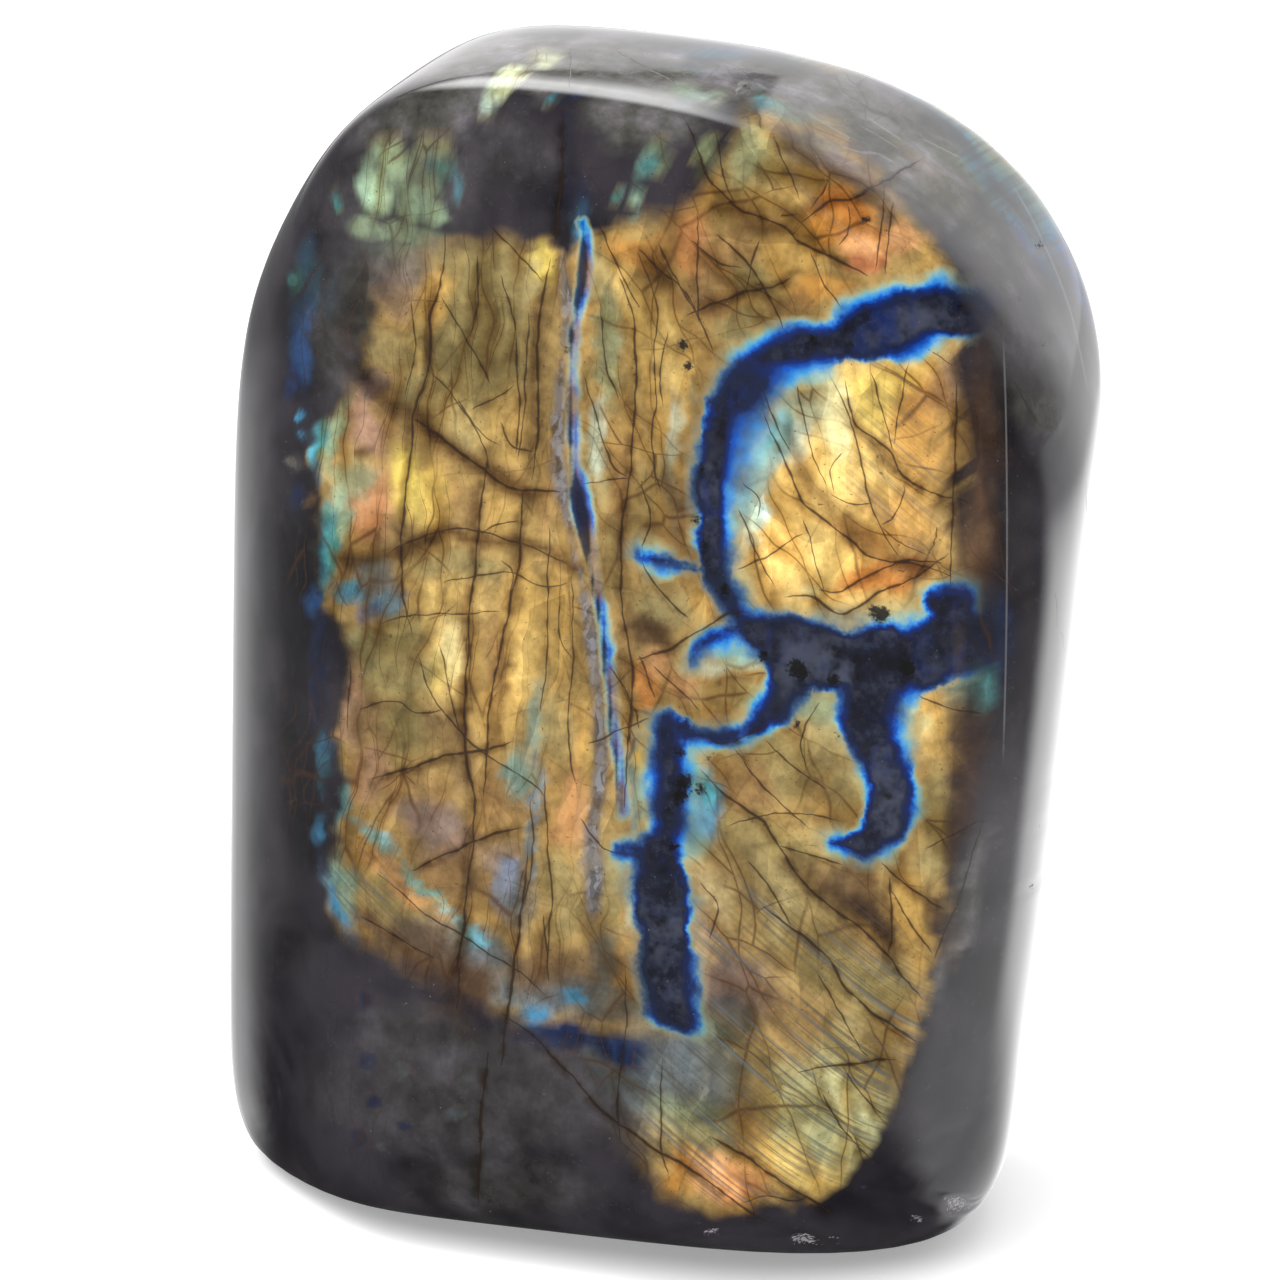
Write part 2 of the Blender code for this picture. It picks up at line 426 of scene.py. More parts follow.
# soft patches of flash: across, down, half width, half height, turn in degrees, colour, strength
patches = [
    # top left of the field, smoky, turning to khaki
    (360, 262, 50, 34, 10, "smoke", 1.0), (420, 258, 50, 26, 8, "ash", 0.8),
    (345, 315, 34, 50, 0, "smoke", 1.0), (395, 290, 26, 22, 0, "mauve", 0.5),
    (470, 262, 40, 22, 0, "olive", 0.8), (480, 330, 56, 80, 0, "olive", 0.9),
    (470, 380, 50, 34, 0, "olive", 0.6), (420, 345, 26, 40, 20, "olive", 0.7),
    (438, 300, 13, 30, 0, "gold", 0.6), (510, 300, 10, 56, 0, "khaki", 0.9),
    (541, 262, 13, 20, 0, "lemon", 0.9), (528, 290, 9, 40, 10, "khaki", 0.8),
    (388, 345, 18, 24, 30, "khaki", 0.9), (372, 385, 22, 16, -30, "mauve", 0.8),
    (352, 372, 18, 20, 0, "smoke", 0.8), (418, 390, 16, 26, 0, "khaki", 0.7),
    (470, 425, 40, 26, 20, "khaki", 0.7), (505, 430, 30, 40, 0, "gold", 0.6),
    (365, 425, 18, 34, -25, "rose", 0.9), (388, 420, 12, 30, -20, "brown", 0.8),
    (370, 505, 24, 36, -15, "apricot", 1.0), (352, 480, 16, 22, -20, "sage", 0.7),
    (402, 478, 18, 36, -10, "lemon", 0.9), (432, 500, 20, 26, 0, "lemon", 0.5),
    (336, 432, 12, 26, 14, "sage", 0.9), (322, 440, 10, 30, 12, "teal", 0.9),
    (318, 470, 10, 14, 0, "steel", 0.7), (342, 515, 9, 30, 0, "mint", 0.8),
    (326, 548, 11, 34, 0, "teal", 1.0), (318, 560, 6, 20, 0, "steel", 0.8),
    (372, 578, 22, 22, 0, "slate", 0.8), (350, 590, 16, 12, -10, "teal", 0.7),
    (386, 604, 16, 12, -20, "steel", 0.7), (312, 600, 8, 12, 0, "blue", 1.0),
    (400, 535, 30, 14, -10, "bark", 0.5), (465, 505, 26, 24, 0, "brown", 0.6),
    (505, 510, 16, 30, 0, "gold", 0.6), (550, 500, 12, 40, 0, "brown", 0.6),
    # left field, yellow in its middle and dusty below
    (450, 566, 44, 18, 0, "khaki", 0.9), (450, 600, 34, 20, 0, "paleGold", 0.8),
    (405, 632, 34, 22, -10, "olive", 0.9), (446, 655, 26, 44, 0, "paleGold", 1.0),
    (436, 672, 18, 18, 0, "lemon", 0.5), (395, 676, 36, 26, 0, "khaki", 0.9),
    (365, 650, 16, 26, 0, "sage", 0.5), (520, 640, 26, 80, 0, "gold", 1.0),
    (520, 650, 14, 60, 0, "glow", 0.4), (560, 630, 14, 70, 0, "gold", 0.9),
    (498, 660, 9, 60, 0, "brown", 0.8), (352, 705, 15, 44, 0, "rose", 0.7),
    (372, 720, 26, 22, 0, "bark", 0.7), (405, 728, 20, 26, 0, "olive", 0.9),
    (445, 728, 26, 18, 0, "bark", 0.6), (500, 715, 24, 30, 0, "gold", 0.7),
    (455, 770, 16, 26, 0, "bark", 0.6), (370, 775, 26, 30, 20, "rose", 0.7),
    (410, 800, 40, 30, 25, "brown", 0.7), (440, 830, 40, 24, 28, "mauve", 0.8),
    (502, 800, 26, 34, 0, "brown", 0.8), (500, 855, 26, 20, 0, "mauve", 0.6),
    (446, 870, 50, 24, 34, "bark", 0.8), (519, 775, 12, 24, 0, "teal", 0.6),
    (535, 720, 8, 40, 4, "teal", 0.5), (560, 735, 18, 44, 0, "khaki", 0.8),
    (590, 755, 9, 60, 0, "gold", 0.7), (572, 810, 20, 44, 0, "apricot", 0.6),
    (507, 885, 15, 34, -12, "periwinkle", 0.9), (522, 905, 12, 30, 0, "slate", 0.5),
    (560, 890, 18, 44, 0, "khaki", 0.8), (534, 830, 5, 70, 0, "steel", 0.6),
    (590, 880, 10, 50, 0, "ash", 0.7), (555, 975, 40, 22, 0, "bark", 1.0),
    (560, 1000, 30, 8, 0, "steel", 0.6), (611, 900, 12, 60, 0, "khaki", 0.8),
    (604, 960, 18, 26, 0, "slate", 0.8), (480, 950, 26, 24, 30, "slate", 0.7),
    (520, 1000, 26, 10, 0, "steel", 0.5),
    # the striped corner and the diagonal streak over it
    (382, 905, 60, 28, 36, "olive", 0.9), (365, 925, 34, 10, 36, "umber", 0.7),
    (400, 885, 50, 8, 38, "apricot", 0.5), (345, 890, 12, 34, -10, "teal", 0.45),
    (372, 835, 30, 7, 42, "cyan", 0.6), (420, 884, 34, 7, 40, "teal", 0.8),
    (470, 965, 70, 34, 30, "slate", 0.75), (425, 955, 60, 20, 30, "umber", 0.8),
    (545, 985, 50, 20, 10, "bark", 0.6), (466, 928, 34, 7, 42, "cyan", 0.5),
    (338, 800, 8, 30, 0, "cyan", 0.7), (338, 862, 10, 20, 0, "teal", 0.45),
    (430, 935, 34, 8, 36, "umber", 0.6),
    # right of the grey vein
    (604, 270, 13, 36, -8, "khaki", 1.0), (606, 350, 13, 60, -4, "sage", 0.6),
    (600, 470, 13, 50, -4, "khaki", 0.8), (600, 440, 8, 40, 0, "ice", 0.5),
    (632, 300, 12, 50, -8, "paleGold", 0.9), (660, 330, 16, 50, -4, "paleGold", 0.7),
    (655, 410, 14, 50, 0, "gold", 0.8), (640, 250, 36, 14, 10, "amber", 0.7),
    (668, 245, 18, 20, 0, "brown", 0.7), (700, 260, 28, 22, 20, "apricot", 0.6),
    (700, 300, 30, 20, 10, "brown", 0.9), (690, 235, 20, 24, 0, "apricot", 0.8),
    (683, 385, 9, 36, 0, "paleGold", 0.9), (650, 500, 22, 44, 0, "khaki", 0.7),
    (672, 500, 10, 50, 0, "slate", 0.5), (676, 440, 9, 40, 0, "ice", 0.4),
    (620, 500, 14, 60, 0, "brown", 0.6), (612, 560, 12, 40, 0, "khaki", 0.7),
    (660, 606, 34, 18, 10, "khaki", 0.9), (705, 610, 22, 14, 10, "gold", 0.7),
    (650, 632, 26, 16, 40, "umber", 0.8), (622, 640, 12, 40, 0, "brown", 0.6),
    (646, 686, 16, 26, 0, "orange", 0.7), (662, 668, 22, 14, 30, "apricot", 0.6),
    (690, 690, 22, 14, -10, "apricot", 0.6), (738, 662, 30, 9, -6, "ice", 0.6),
    (728, 692, 32, 15, -8, "khaki", 0.9), (732, 680, 18, 4, -5, "umber", 0.6),
    (745, 705, 18, 8, 0, "khaki", 0.9), (643, 790, 9, 60, 2, "lemon", 0.7),
    (632, 790, 5, 60, 2, "cyan", 0.4),
    # upper right
    (765, 168, 34, 26, 25, "khaki", 0.9), (745, 150, 24, 24, 0, "sage", 0.5),
    (778, 200, 26, 22, 30, "glow", 0.45), (815, 150, 40, 16, 25, "ash", 0.8),
    (842, 172, 32, 14, 22, "mauve", 0.8), (752, 220, 26, 20, 20, "brown", 0.8),
    (792, 252, 40, 28, 20, "gold", 0.7), (826, 226, 24, 20, 20, "amber", 1.0),
    (866, 236, 26, 26, 10, "orange", 0.8), (862, 262, 22, 16, 10, "rust", 0.9),
    (850, 205, 24, 14, 0, "orange", 0.8), (905, 240, 20, 20, 40, "apricot", 0.8),
    (730, 262, 30, 26, 20, "brown", 0.9), (760, 282, 30, 18, 40, "olive", 0.9),
    (826, 290, 30, 16, 0, "amber", 0.7), (735, 325, 30, 14, -25, "khaki", 0.9),
    (792, 305, 26, 12, -15, "bark", 0.6), (890, 200, 16, 24, -25, "mauve", 0.6),
    # the bright field inside the hook
    (850, 480, 120, 130, 0, "glow", 1.0), (920, 440, 36, 56, 0, "amber", 0.7),
    (878, 398, 26, 30, 20, "lemon", 0.7), (830, 410, 18, 44, -14, "cream", 0.9),
    (796, 425, 22, 40, 20, "ice", 0.8), (778, 440, 16, 40, 20, "cyan", 0.7),
    (756, 500, 12, 44, 8, "ice", 0.9), (908, 525, 34, 30, 20, "amber", 0.7),
    (800, 560, 34, 20, 0, "glow", 0.6), (806, 590, 14, 7, 0, "cream", 0.9),
    (885, 575, 50, 18, -12, "orange", 0.9), (862, 540, 34, 12, 30, "amber", 0.7),
    (870, 500, 20, 20, 0, "amber", 0.5), (938, 385, 18, 26, 0, "rose", 0.7),
    (916, 560, 26, 24, 0, "brown", 0.6), (750, 585, 14, 16, 0, "khaki", 0.8),
    (945, 470, 8, 90, 0, "brown", 0.5),
    # right and lower right
    (930, 725, 11, 44, 0, "gold", 1.0), (921, 712, 6, 24, 0, "paleLemon", 0.5),
    (966, 735, 16, 60, 0, "umber", 0.9), (938, 810, 22, 40, 0, "olive", 0.9),
    (965, 830, 20, 60, 0, "umber", 0.8), (928, 860, 18, 30, 0, "khaki", 0.8),
    (816, 708, 22, 20, 0, "sage", 0.8), (822, 740, 26, 26, 10, "khaki", 0.9),
    (775, 765, 44, 34, 20, "olive", 0.8), (846, 790, 20, 30, 0, "khaki", 0.8),
    (740, 790, 34, 34, 20, "brown", 0.8), (710, 810, 14, 44, 0, "teal", 0.4),
    (760, 850, 60, 34, 25, "olive", 0.8), (830, 855, 40, 20, 20, "khaki", 0.5),
    (850, 886, 40, 24, 30, "bark", 0.9), (872, 916, 34, 14, 40, "umber", 0.9),
    (918, 925, 18, 56, -14, "gold", 1.0), (735, 900, 50, 50, 20, "rose", 0.6),
    (800, 905, 50, 24, 32, "khaki", 0.4), (820, 960, 60, 34, 32, "olive", 0.8),
    (735, 985, 40, 34, 10, "mauve", 0.9), (730, 1020, 36, 28, 0, "smoke", 0.8),
    (882, 985, 28, 34, 20, "olive", 0.9), (800, 1020, 50, 24, 30, "bark", 0.5),
    (860, 1045, 34, 40, 0, "khaki", 0.7), (680, 1075, 70, 44, 25, "slate", 0.9),
    (620, 1085, 44, 40, 25, "slate", 0.7), (710, 1040, 30, 14, 20, "teal", 0.3),
    (760, 1080, 60, 30, 25, "olive", 0.8), (830, 1125, 54, 46, 20, "khaki", 1.0),
    (800, 1165, 50, 26, 15, "lemon", 0.6), (730, 1180, 40, 20, 15, "apricot", 0.9),
    (682, 1172, 26, 20, 10, "amber", 0.6), (690, 1120, 50, 24, 25, "sage", 0.5),
    (845, 1085, 30, 30, 0, "paleGold", 0.4), (650, 1150, 24, 24, 20, "khaki", 0.7),
    (316, 440, 8, 26, 10, "cyan", 0.8), (334, 452, 8, 24, 10, "sage", 0.5),
    (319, 560, 7, 38, 0, "cyan", 0.7), (352, 592, 22, 10, 10, "steel", 0.7),
    (372, 612, 14, 9, 0, "blue", 0.6), (328, 515, 8, 16, 0, "teal", 0.7),
    (702, 808, 19, 44, 0, "steel", 1.0), (708, 790, 9, 22, 0, "cyan", 0.6),
    (700, 850, 12, 12, 0, "teal", 0.6), (636, 905, 10, 20, 0, "ice", 0.5),
    (640, 870, 12, 8, 0, "khaki", 0.6), (452, 652, 16, 30, 0, "cream", 0.45),
    (590, 1000, 60, 22, 10, "slate", 0.8), (560, 962, 40, 26, 0, "bark", 0.6),
    (862, 238, 22, 16, 0, "peach", 0.8), (835, 1115, 66, 60, 20, "paleLemon", 0.5),
    (790, 1170, 50, 24, 15, "paleGold", 0.7), (755, 900, 74, 54, 25, "khaki", 0.75),
    (720, 1176, 36, 20, 15, "peach", 0.7), (700, 950, 12, 60, 0, "rose", 0.4),
    (600, 1085, 50, 50, 25, "slate", 0.8), (625, 1140, 34, 40, 25, "ash", 0.7),
    (700, 1060, 60, 26, 30, "slate", 0.5),
]

# brown and smoky bands that run through the flash: points, half width, strength
shadeStrokes = [
    ([(352, 362), (382, 392), (418, 420), (452, 445), (498, 480), (530, 496)], 13, 0.9),
    ([(345, 560), (396, 552), (438, 531), (474, 538), (530, 545), (575, 570)], 9, 0.85),
    ([(543, 300), (534, 370), (530, 440), (520, 540), (508, 640), (494, 740)], 7, 0.6),
    ([(556, 262), (546, 330), (542, 400), (545, 460)], 6, 0.5),
    ([(484, 450), (472, 560), (466, 700), (470, 800), (464, 900), (458, 990)], 8, 0.6),
    ([(436, 290), (424, 370), (408, 450), (402, 560)], 5, 0.5),
    ([(560, 120), (566, 200), (566, 240)], 12, 0.8),
    ([(636, 246), (652, 262), (668, 282)], 9, 0.6),
    ([(640, 618), (655, 632), (672, 648)], 9, 0.7),
    ([(604, 560), (622, 600), (640, 640)], 8, 0.5),
    ([(790, 430), (806, 480), (842, 520), (884, 552), (930, 566)], 10, 0.7),
    ([(853, 424), (872, 440), (900, 476), (940, 496), (968, 504)], 8, 0.7),
    ([(714, 204), (740, 220), (790, 230), (840, 258)], 7, 0.6),
    ([(790, 215), (850, 200), (900, 175)], 8, 0.55),
    ([(700, 306), (750, 290), (800, 272)], 6, 0.5),
    ([(790, 862), (824, 890), (860, 915), (895, 948)], 15, 0.75),
    ([(700, 740), (760, 732), (790, 712)], 6, 0.5),
    ([(500, 1012), (560, 1062), (640, 1130), (720, 1190)], 8, 0.55),
    ([(700, 1118), (750, 1158), (800, 1198)], 8, 0.5),
    ([(345, 935), (400, 962), (450, 990)], 10, 0.5),
    ([(372, 782), (430, 762), (510, 744)], 5, 0.5),
    ([(415, 868), (470, 842), (544, 820)], 5, 0.4),
    ([(628, 440), (626, 540), (630, 640)], 6, 0.4),
    ([(958, 360), (957, 480), (952, 590)], 7, 0.6),
]

# paler mottled places on the dark body, mostly painted reflection where its polish mirrors the bright top,
# sides and floor, and on the brow its own paler mottle: across, down, half width, half height, turn, amount
paintedBodyReflections = [
    (520, 60, 150, 28, 0, 1.0), (700, 78, 140, 26, 8, 1.0), (860, 112, 110, 28, 26, 1.0),
    (430, 110, 80, 26, -20, 0.7), (400, 200, 80, 60, -20, 0.24), (500, 150, 60, 40, 0, 0.18),
    (640, 120, 60, 26, 8, 0.75), (930, 170, 60, 40, 35, 1.0), (1020, 240, 50, 70, 20, 0.34),
    (1030, 350, 44, 60, 0, 0.26), (1040, 410, 26, 26, 0, 0.6), (480, 1090, 150, 70, 0, 0.25),
    (420, 1040, 60, 40, 0, 0.25), (500, 1185, 90, 34, 0, 0.24), (790, 120, 60, 24, 15, 0.6),
    (350, 330, 40, 90, 0, 0.3), (963, 906, 8, 105, 18, 0.55), (1034, 404, 22, 22, 0, 0.7),
]

# edge of the area that flashes, and how softly it ends there, in pixels
flashOutline = [
    (345, 268, 22), (395, 250, 22), (430, 236, 18), (468, 244, 20), (505, 238, 16), (535, 246, 12),
    (553, 238, 8), (566, 262, 4), (577, 236, 5), (592, 228, 7), (612, 230, 10), (634, 214, 10),
    (656, 226, 12), (676, 216, 9), (694, 206, 9), (708, 186, 8), (722, 150, 12), (740, 128, 16),
    (785, 112, 16), (830, 124, 16), (858, 150, 14), (884, 182, 9), (905, 210, 9), (935, 240, 10),
    (948, 268, 8), (959, 300, 5), (961, 360, 3), (958, 430, 2), (956, 500, 2), (952, 560, 3),
    (950, 596, 6), (954, 650, 6), (956, 700, 7), (955, 760, 8), (952, 830, 9), (948, 885, 8),
    (940, 935, 7), (928, 988, 6), (912, 1050, 6), (893, 1108, 8), (862, 1163, 8), (812, 1198, 8),
    (752, 1213, 8), (690, 1206, 9), (664, 1190, 14), (634, 1142, 20), (600, 1090, 26), (565, 1046, 20),
    (530, 1024, 10), (497, 1018, 10), (455, 986, 14), (398, 958, 16), (359, 942, 14), (337, 923, 12),
    (330, 880, 10), (338, 840, 9), (340, 800, 8), (334, 740, 8), (345, 690, 10), (350, 640, 12),
    (330, 612, 8), (309, 603, 6), (312, 560, 6), (318, 520, 8), (318, 480, 8), (304, 462, 6),
    (318, 425, 8), (345, 400, 14), (352, 360, 18), (335, 310, 18),
]

# small flashes beyond it, and two tall sheets of painted dark reflection down the rounded sides of the broad
# face: across, down, half width, half height, turn, colour, strength
sparksAndPaintedDark = [
    # first, painted dark reflection down the left and right rounded sides of the broad face
    (303, 690, 24, 230, 0, "paintedDark", 0.6), (986, 560, 30, 210, 0, "paintedDark", 0.6),
    (288, 463, 8, 5, 0, "ash", 0.6), (309, 500, 6, 4, 0, "bark", 0.6),
    (372, 190, 15, 26, -12, "mint", 0.85), (395, 168, 18, 15, 20, "sage", 0.8),
    (389, 148, 18, 9, 0, "sage", 0.7), (434, 150, 16, 12, 20, "paleLemon", 0.45),
    (416, 190, 26, 30, 0, "sage", 0.4), (408, 206, 14, 20, 0, "sage", 0.6),
    (434, 212, 15, 13, 0, "mint", 0.6), (443, 172, 8, 9, 0, "teal", 0.6),
    (366, 228, 16, 12, 0, "sage", 0.6), (396, 232, 22, 12, 10, "sage", 0.45),
    (457, 189, 4, 8, 10, "cyan", 0.6), (338, 205, 4, 9, 0, "teal", 0.8),
    (655, 161, 15, 17, -25, "sage", 0.75), (641, 172, 10, 8, 0, "teal", 0.4),
    (616, 195, 5, 8, 0, "teal", 0.5), (635, 198, 4, 11, 0, "mint", 0.5), (705, 152, 9, 16, 0, "sage", 0.6),
    (497, 90, 13, 10, -20, "mint", 0.95), (487, 107, 9, 8, 0, "ice", 0.65),
    (512, 80, 16, 9, -30, "paleLemon", 0.85), (546, 56, 16, 9, 0, "paleLemon", 0.6),
    (553, 94, 6, 7, 0, "cyan", 0.8), (573, 95, 9, 4, 0, "blue", 0.7), (690, 92, 20, 7, 15, "mint", 0.6),
    (680, 104, 8, 5, 0, "teal", 0.5), (716, 96, 10, 8, 30, "ice", 0.4), (780, 106, 16, 6, 15, "teal", 0.6),
    (763, 100, 6, 9, 0, "cyan", 0.5), (800, 118, 16, 5, 20, "sage", 0.4),
    (304, 300, 15, 56, 6, "steel", 0.34), (300, 352, 13, 36, 4, "blue", 0.4),
    (292, 278, 6, 10, 0, "teal", 0.55), (290, 385, 7, 14, 0, "navy", 0.6),
    (297, 415, 5, 5, 0, "steel", 0.9), (302, 436, 4, 4, 0, "steel", 0.5), (295, 495, 6, 8, 0, "navy", 0.6),
    (314, 602, 7, 9, 0, "blue", 0.9), (322, 640, 6, 22, 0, "navy", 0.6), (319, 700, 5, 30, 0, "navy", 0.5),
    (324, 760, 5, 20, 0, "steel", 0.4), (322, 832, 5, 8, 0, "steel", 0.6),
    (340, 905, 5, 26, -20, "steel", 0.4), (369, 1003, 8, 12, 0, "navy", 0.5),
    (363, 1060, 10, 8, 0, "navy", 0.5), (372, 1098, 9, 7, 0, "navy", 0.7),
    (356, 1140, 8, 10, 0, "navy", 0.45), (401, 1070, 7, 7, 0, "slate", 0.6),
    (455, 1115, 9, 7, 0, "slate", 0.5), (404, 1127, 8, 6, 0, "navy", 0.6),
    (379, 1147, 6, 5, 0, "slate", 0.4), (465, 1080, 8, 7, 0, "slate", 0.4),
    (430, 1010, 16, 10, 0, "slate", 0.25), (470, 1000, 26, 40, 0, "umber", 0.22),
    (560, 1035, 50, 16, 12, "navy", 0.5), (620, 1050, 30, 18, 10, "navy", 0.45),
    (535, 1012, 16, 7, 0, "steel", 0.55), (575, 1000, 18, 6, 20, "steel", 0.5),
    (973, 470, 14, 110, 0, "umber", 0.30), (965, 552, 10, 20, 0, "bark", 0.4),
    (977, 300, 22, 22, 0, "navy", 0.35), (985, 640, 26, 30, 0, "navy", 0.5),
    (968, 690, 16, 12, 0, "teal", 0.4), (965, 780, 14, 60, 0, "umber", 0.45),
    (940, 930, 8, 40, -18, "umber", 0.4), (566, 150, 10, 60, 0, "navy", 0.35),
    (575, 200, 16, 26, 0, "navy", 0.4), (580, 232, 8, 14, 0, "steel", 0.5),
]

# dark bands with blue rims: across, down, half width
darkBands = {
    "upper arm": [(1012, 306, 18), (985, 309, 21), (962, 313, 24), (931, 311, 27), (905, 321, 32),
                  (887, 327, 33), (860, 333, 27), (833, 342, 20), (805, 346, 20), (778, 356, 21),
                  (752, 378, 24), (735, 405, 24), (722, 432, 20), (715, 470, 17), (712, 510, 15),
                  (712, 545, 14), (716, 575, 13), (732, 604, 12)],
    "cross band": [(736, 614, 8), (760, 634, 18), (788, 646, 29), (816, 656, 31), (850, 664, 29),
                   (880, 664, 37), (915, 660, 34), (945, 644, 34), (975, 642, 32), (1010, 640, 28)],
    "pebble": [(936, 602, 14), (958, 604, 22)],
    "loop": [(742, 626, 8), (722, 634, 6), (706, 641, 5), (696, 651, 4), (692, 664, 2)],
    "branch": [(792, 676, 22), (782, 698, 18), (766, 715, 14), (748, 730, 9), (722, 737, 6), (700, 736, 6),
               (684, 730, 9)],
    "stem": [(667, 722, 10), (668, 745, 16), (670, 780, 16), (669, 815, 15), (665, 838, 16),
             (659, 865, 25), (660, 900, 26), (664, 936, 25), (667, 975, 27), (672, 1003, 24),
             (686, 1018, 15)],
    "stem spur": [(618, 850, 5), (640, 853, 8)],
    "hook": [(869, 690, 32), (869, 715, 30), (876, 745, 25), (888, 770, 22), (893, 795, 23),
             (888, 820, 22), (875, 838, 17), (855, 845, 10), (832, 844, 6)],
    "short streak": [(640, 556, 7), (656, 560, 8), (674, 564, 4), (692, 567, 3), (709, 573, 4)],
}

# where the blue rims spread wider than usual: across, down, half width, half height, extra pixels
wideRims = [
    (765, 430, 34, 60, 22), (740, 500, 14, 60, 13), (800, 375, 40, 14, 6), (800, 612, 60, 14, 5),
    (880, 612, 40, 14, 6), (935, 350, 30, 12, 6), (925, 275, 30, 10, 6), (690, 450, 8, 110, 7),
    (640, 780, 14, 50, 3), (700, 800, 20, 50, 8), (912, 720, 12, 34, 7), (655, 716, 24, 14, 5),
    (730, 655, 30, 12, 6), (622, 905, 14, 40, 4), (700, 900, 10, 90, 2), (650, 575, 30, 10, 4),
    (860, 860, 40, 10, 3),
]

# where the rims are dull: across, down, half width, half height, amount
dullRims = [
    (975, 300, 24, 60, 1.0), (1000, 640, 44, 60, 1.0), (975, 690, 40, 30, 0.7), (700, 990, 24, 44, 0.6),
    (636, 975, 22, 64, 1.0), (664, 975, 44, 44, 0.6), (690, 450, 16, 90, 0.8), (850, 690, 26, 16, 0.7),
    (820, 700, 30, 22, 0.55), (700, 728, 26, 10, 0.5), (620, 850, 16, 12, 0.5), (718, 590, 14, 26, 0.75),
    (700, 572, 24, 14, 0.85), (690, 556, 24, 8, 0.8), (960, 590, 14, 14, 0.4),
]

# where the bands are greyer: across, down, half width, half height
stonyBands = [(666, 950, 44, 60), (850, 665, 90, 34), (888, 790, 30, 60), (905, 320, 60, 22),
              (712, 520, 20, 60)]

# the grey vein and the thin blue line on its right
greyVein = [(562, 250, 2), (566, 285, 6), (569, 308, 8), (565, 340, 4), (560, 380, 5), (558, 430, 6),
            (560, 475, 8), (567, 510, 6), (574, 545, 3), (584, 590, 4), (592, 640, 6), (597, 690, 6),
            (600, 740, 6), (600, 785, 8), (592, 830, 8), (596, 870, 9), (594, 905, 5)]
blueLine = [(580, 222, 1), (583, 246, 3), (582, 275, 6), (576, 310, 3), (570, 350, 2), (569, 400, 2),
            (571, 450, 2), (576, 490, 5), (583, 530, 6), (590, 570, 3), (600, 620, 2), (606, 670, 3),
            (611, 720, 2), (617, 770, 2), (620, 815, 3)]

# strong cracks, dark and up to three pixels wide
strongCracks = [
    [(563, 112), (562, 170), (560, 211), (552, 252)],
    [(446, 225), (442, 274), (430, 316), (428, 369), (414, 414), (411, 456), (404, 509), (402, 583),
     (414, 643)],
    [(551, 256), (540, 316), (537, 369), (539, 421), (531, 484)],
    [(516, 333), (519, 404), (516, 456)],
    [(407, 414), (446, 441), (481, 467), (516, 489), (568, 491)],
    [(614, 263), (632, 316), (636, 386), (632, 439), (628, 491), (621, 548), (623, 608), (633, 678),
     (628, 748), (624, 818)],
    [(681, 112), (698, 151), (709, 178), (733, 203), (755, 214), (784, 227), (800, 243), (829, 255),
     (854, 268), (873, 279)],
    [(800, 224), (829, 203), (854, 198), (872, 187), (899, 172), (926, 156)],
    [(701, 309), (739, 294), (768, 287), (792, 277)],
    [(714, 232), (746, 262), (771, 300), (783, 332)],
    [(845, 378), (854, 421), (873, 437), (892, 453), (905, 478), (937, 494), (969, 501)],
    [(762, 405), (787, 465), (803, 501), (829, 523), (854, 542), (873, 558), (918, 565), (956, 578)],
    [(816, 590), (841, 590), (873, 574), (905, 561), (947, 565)],
    [(782, 598), (811, 597), (839, 613), (860, 606), (886, 590), (921, 574), (953, 552)],
    [(959, 367), (955, 453), (951, 549), (950, 596)],
    [(491, 450), (481, 503), (477, 555), (470, 608), (467, 661), (465, 713), (468, 766), (475, 801),
     (470, 871), (462, 930), (455, 1025)],
    [(523, 485), (519, 555), (509, 608), (498, 661), (491, 700), (488, 748), (483, 801)],
    [(368, 780), (417, 766), (446, 755), (498, 747), (519, 741)],
    [(411, 871), (446, 854), (491, 836), (523, 826)],
    [(635, 661), (674, 647), (705, 628), (728, 614), (752, 612)],
    [(698, 768), (730, 799), (761, 820), (775, 841), (796, 873), (828, 904), (860, 929), (891, 957),
     (902, 975), (926, 1003)],
    [(758, 904), (793, 929), (825, 954), (846, 989), (874, 1013), (902, 1031), (923, 1047)],
    [(891, 876), (892, 918), (890, 954)],
    [(881, 862), (909, 887), (946, 911)],
    [(497, 1009), (538, 1041), (583, 1089), (615, 1121), (662, 1153), (700, 1175), (746, 1210),
     (778, 1226)],
    [(707, 1134), (746, 1156), (778, 1179), (809, 1198), (841, 1217)],
    [(528, 850), (519, 930), (509, 1003), (500, 1073)],
    [(705, 738), (722, 742), (745, 736), (770, 722)],
    [(488, 1050), (481, 1121), (477, 1207)],
    [(796, 1073), (846, 1064), (898, 1059)],
]

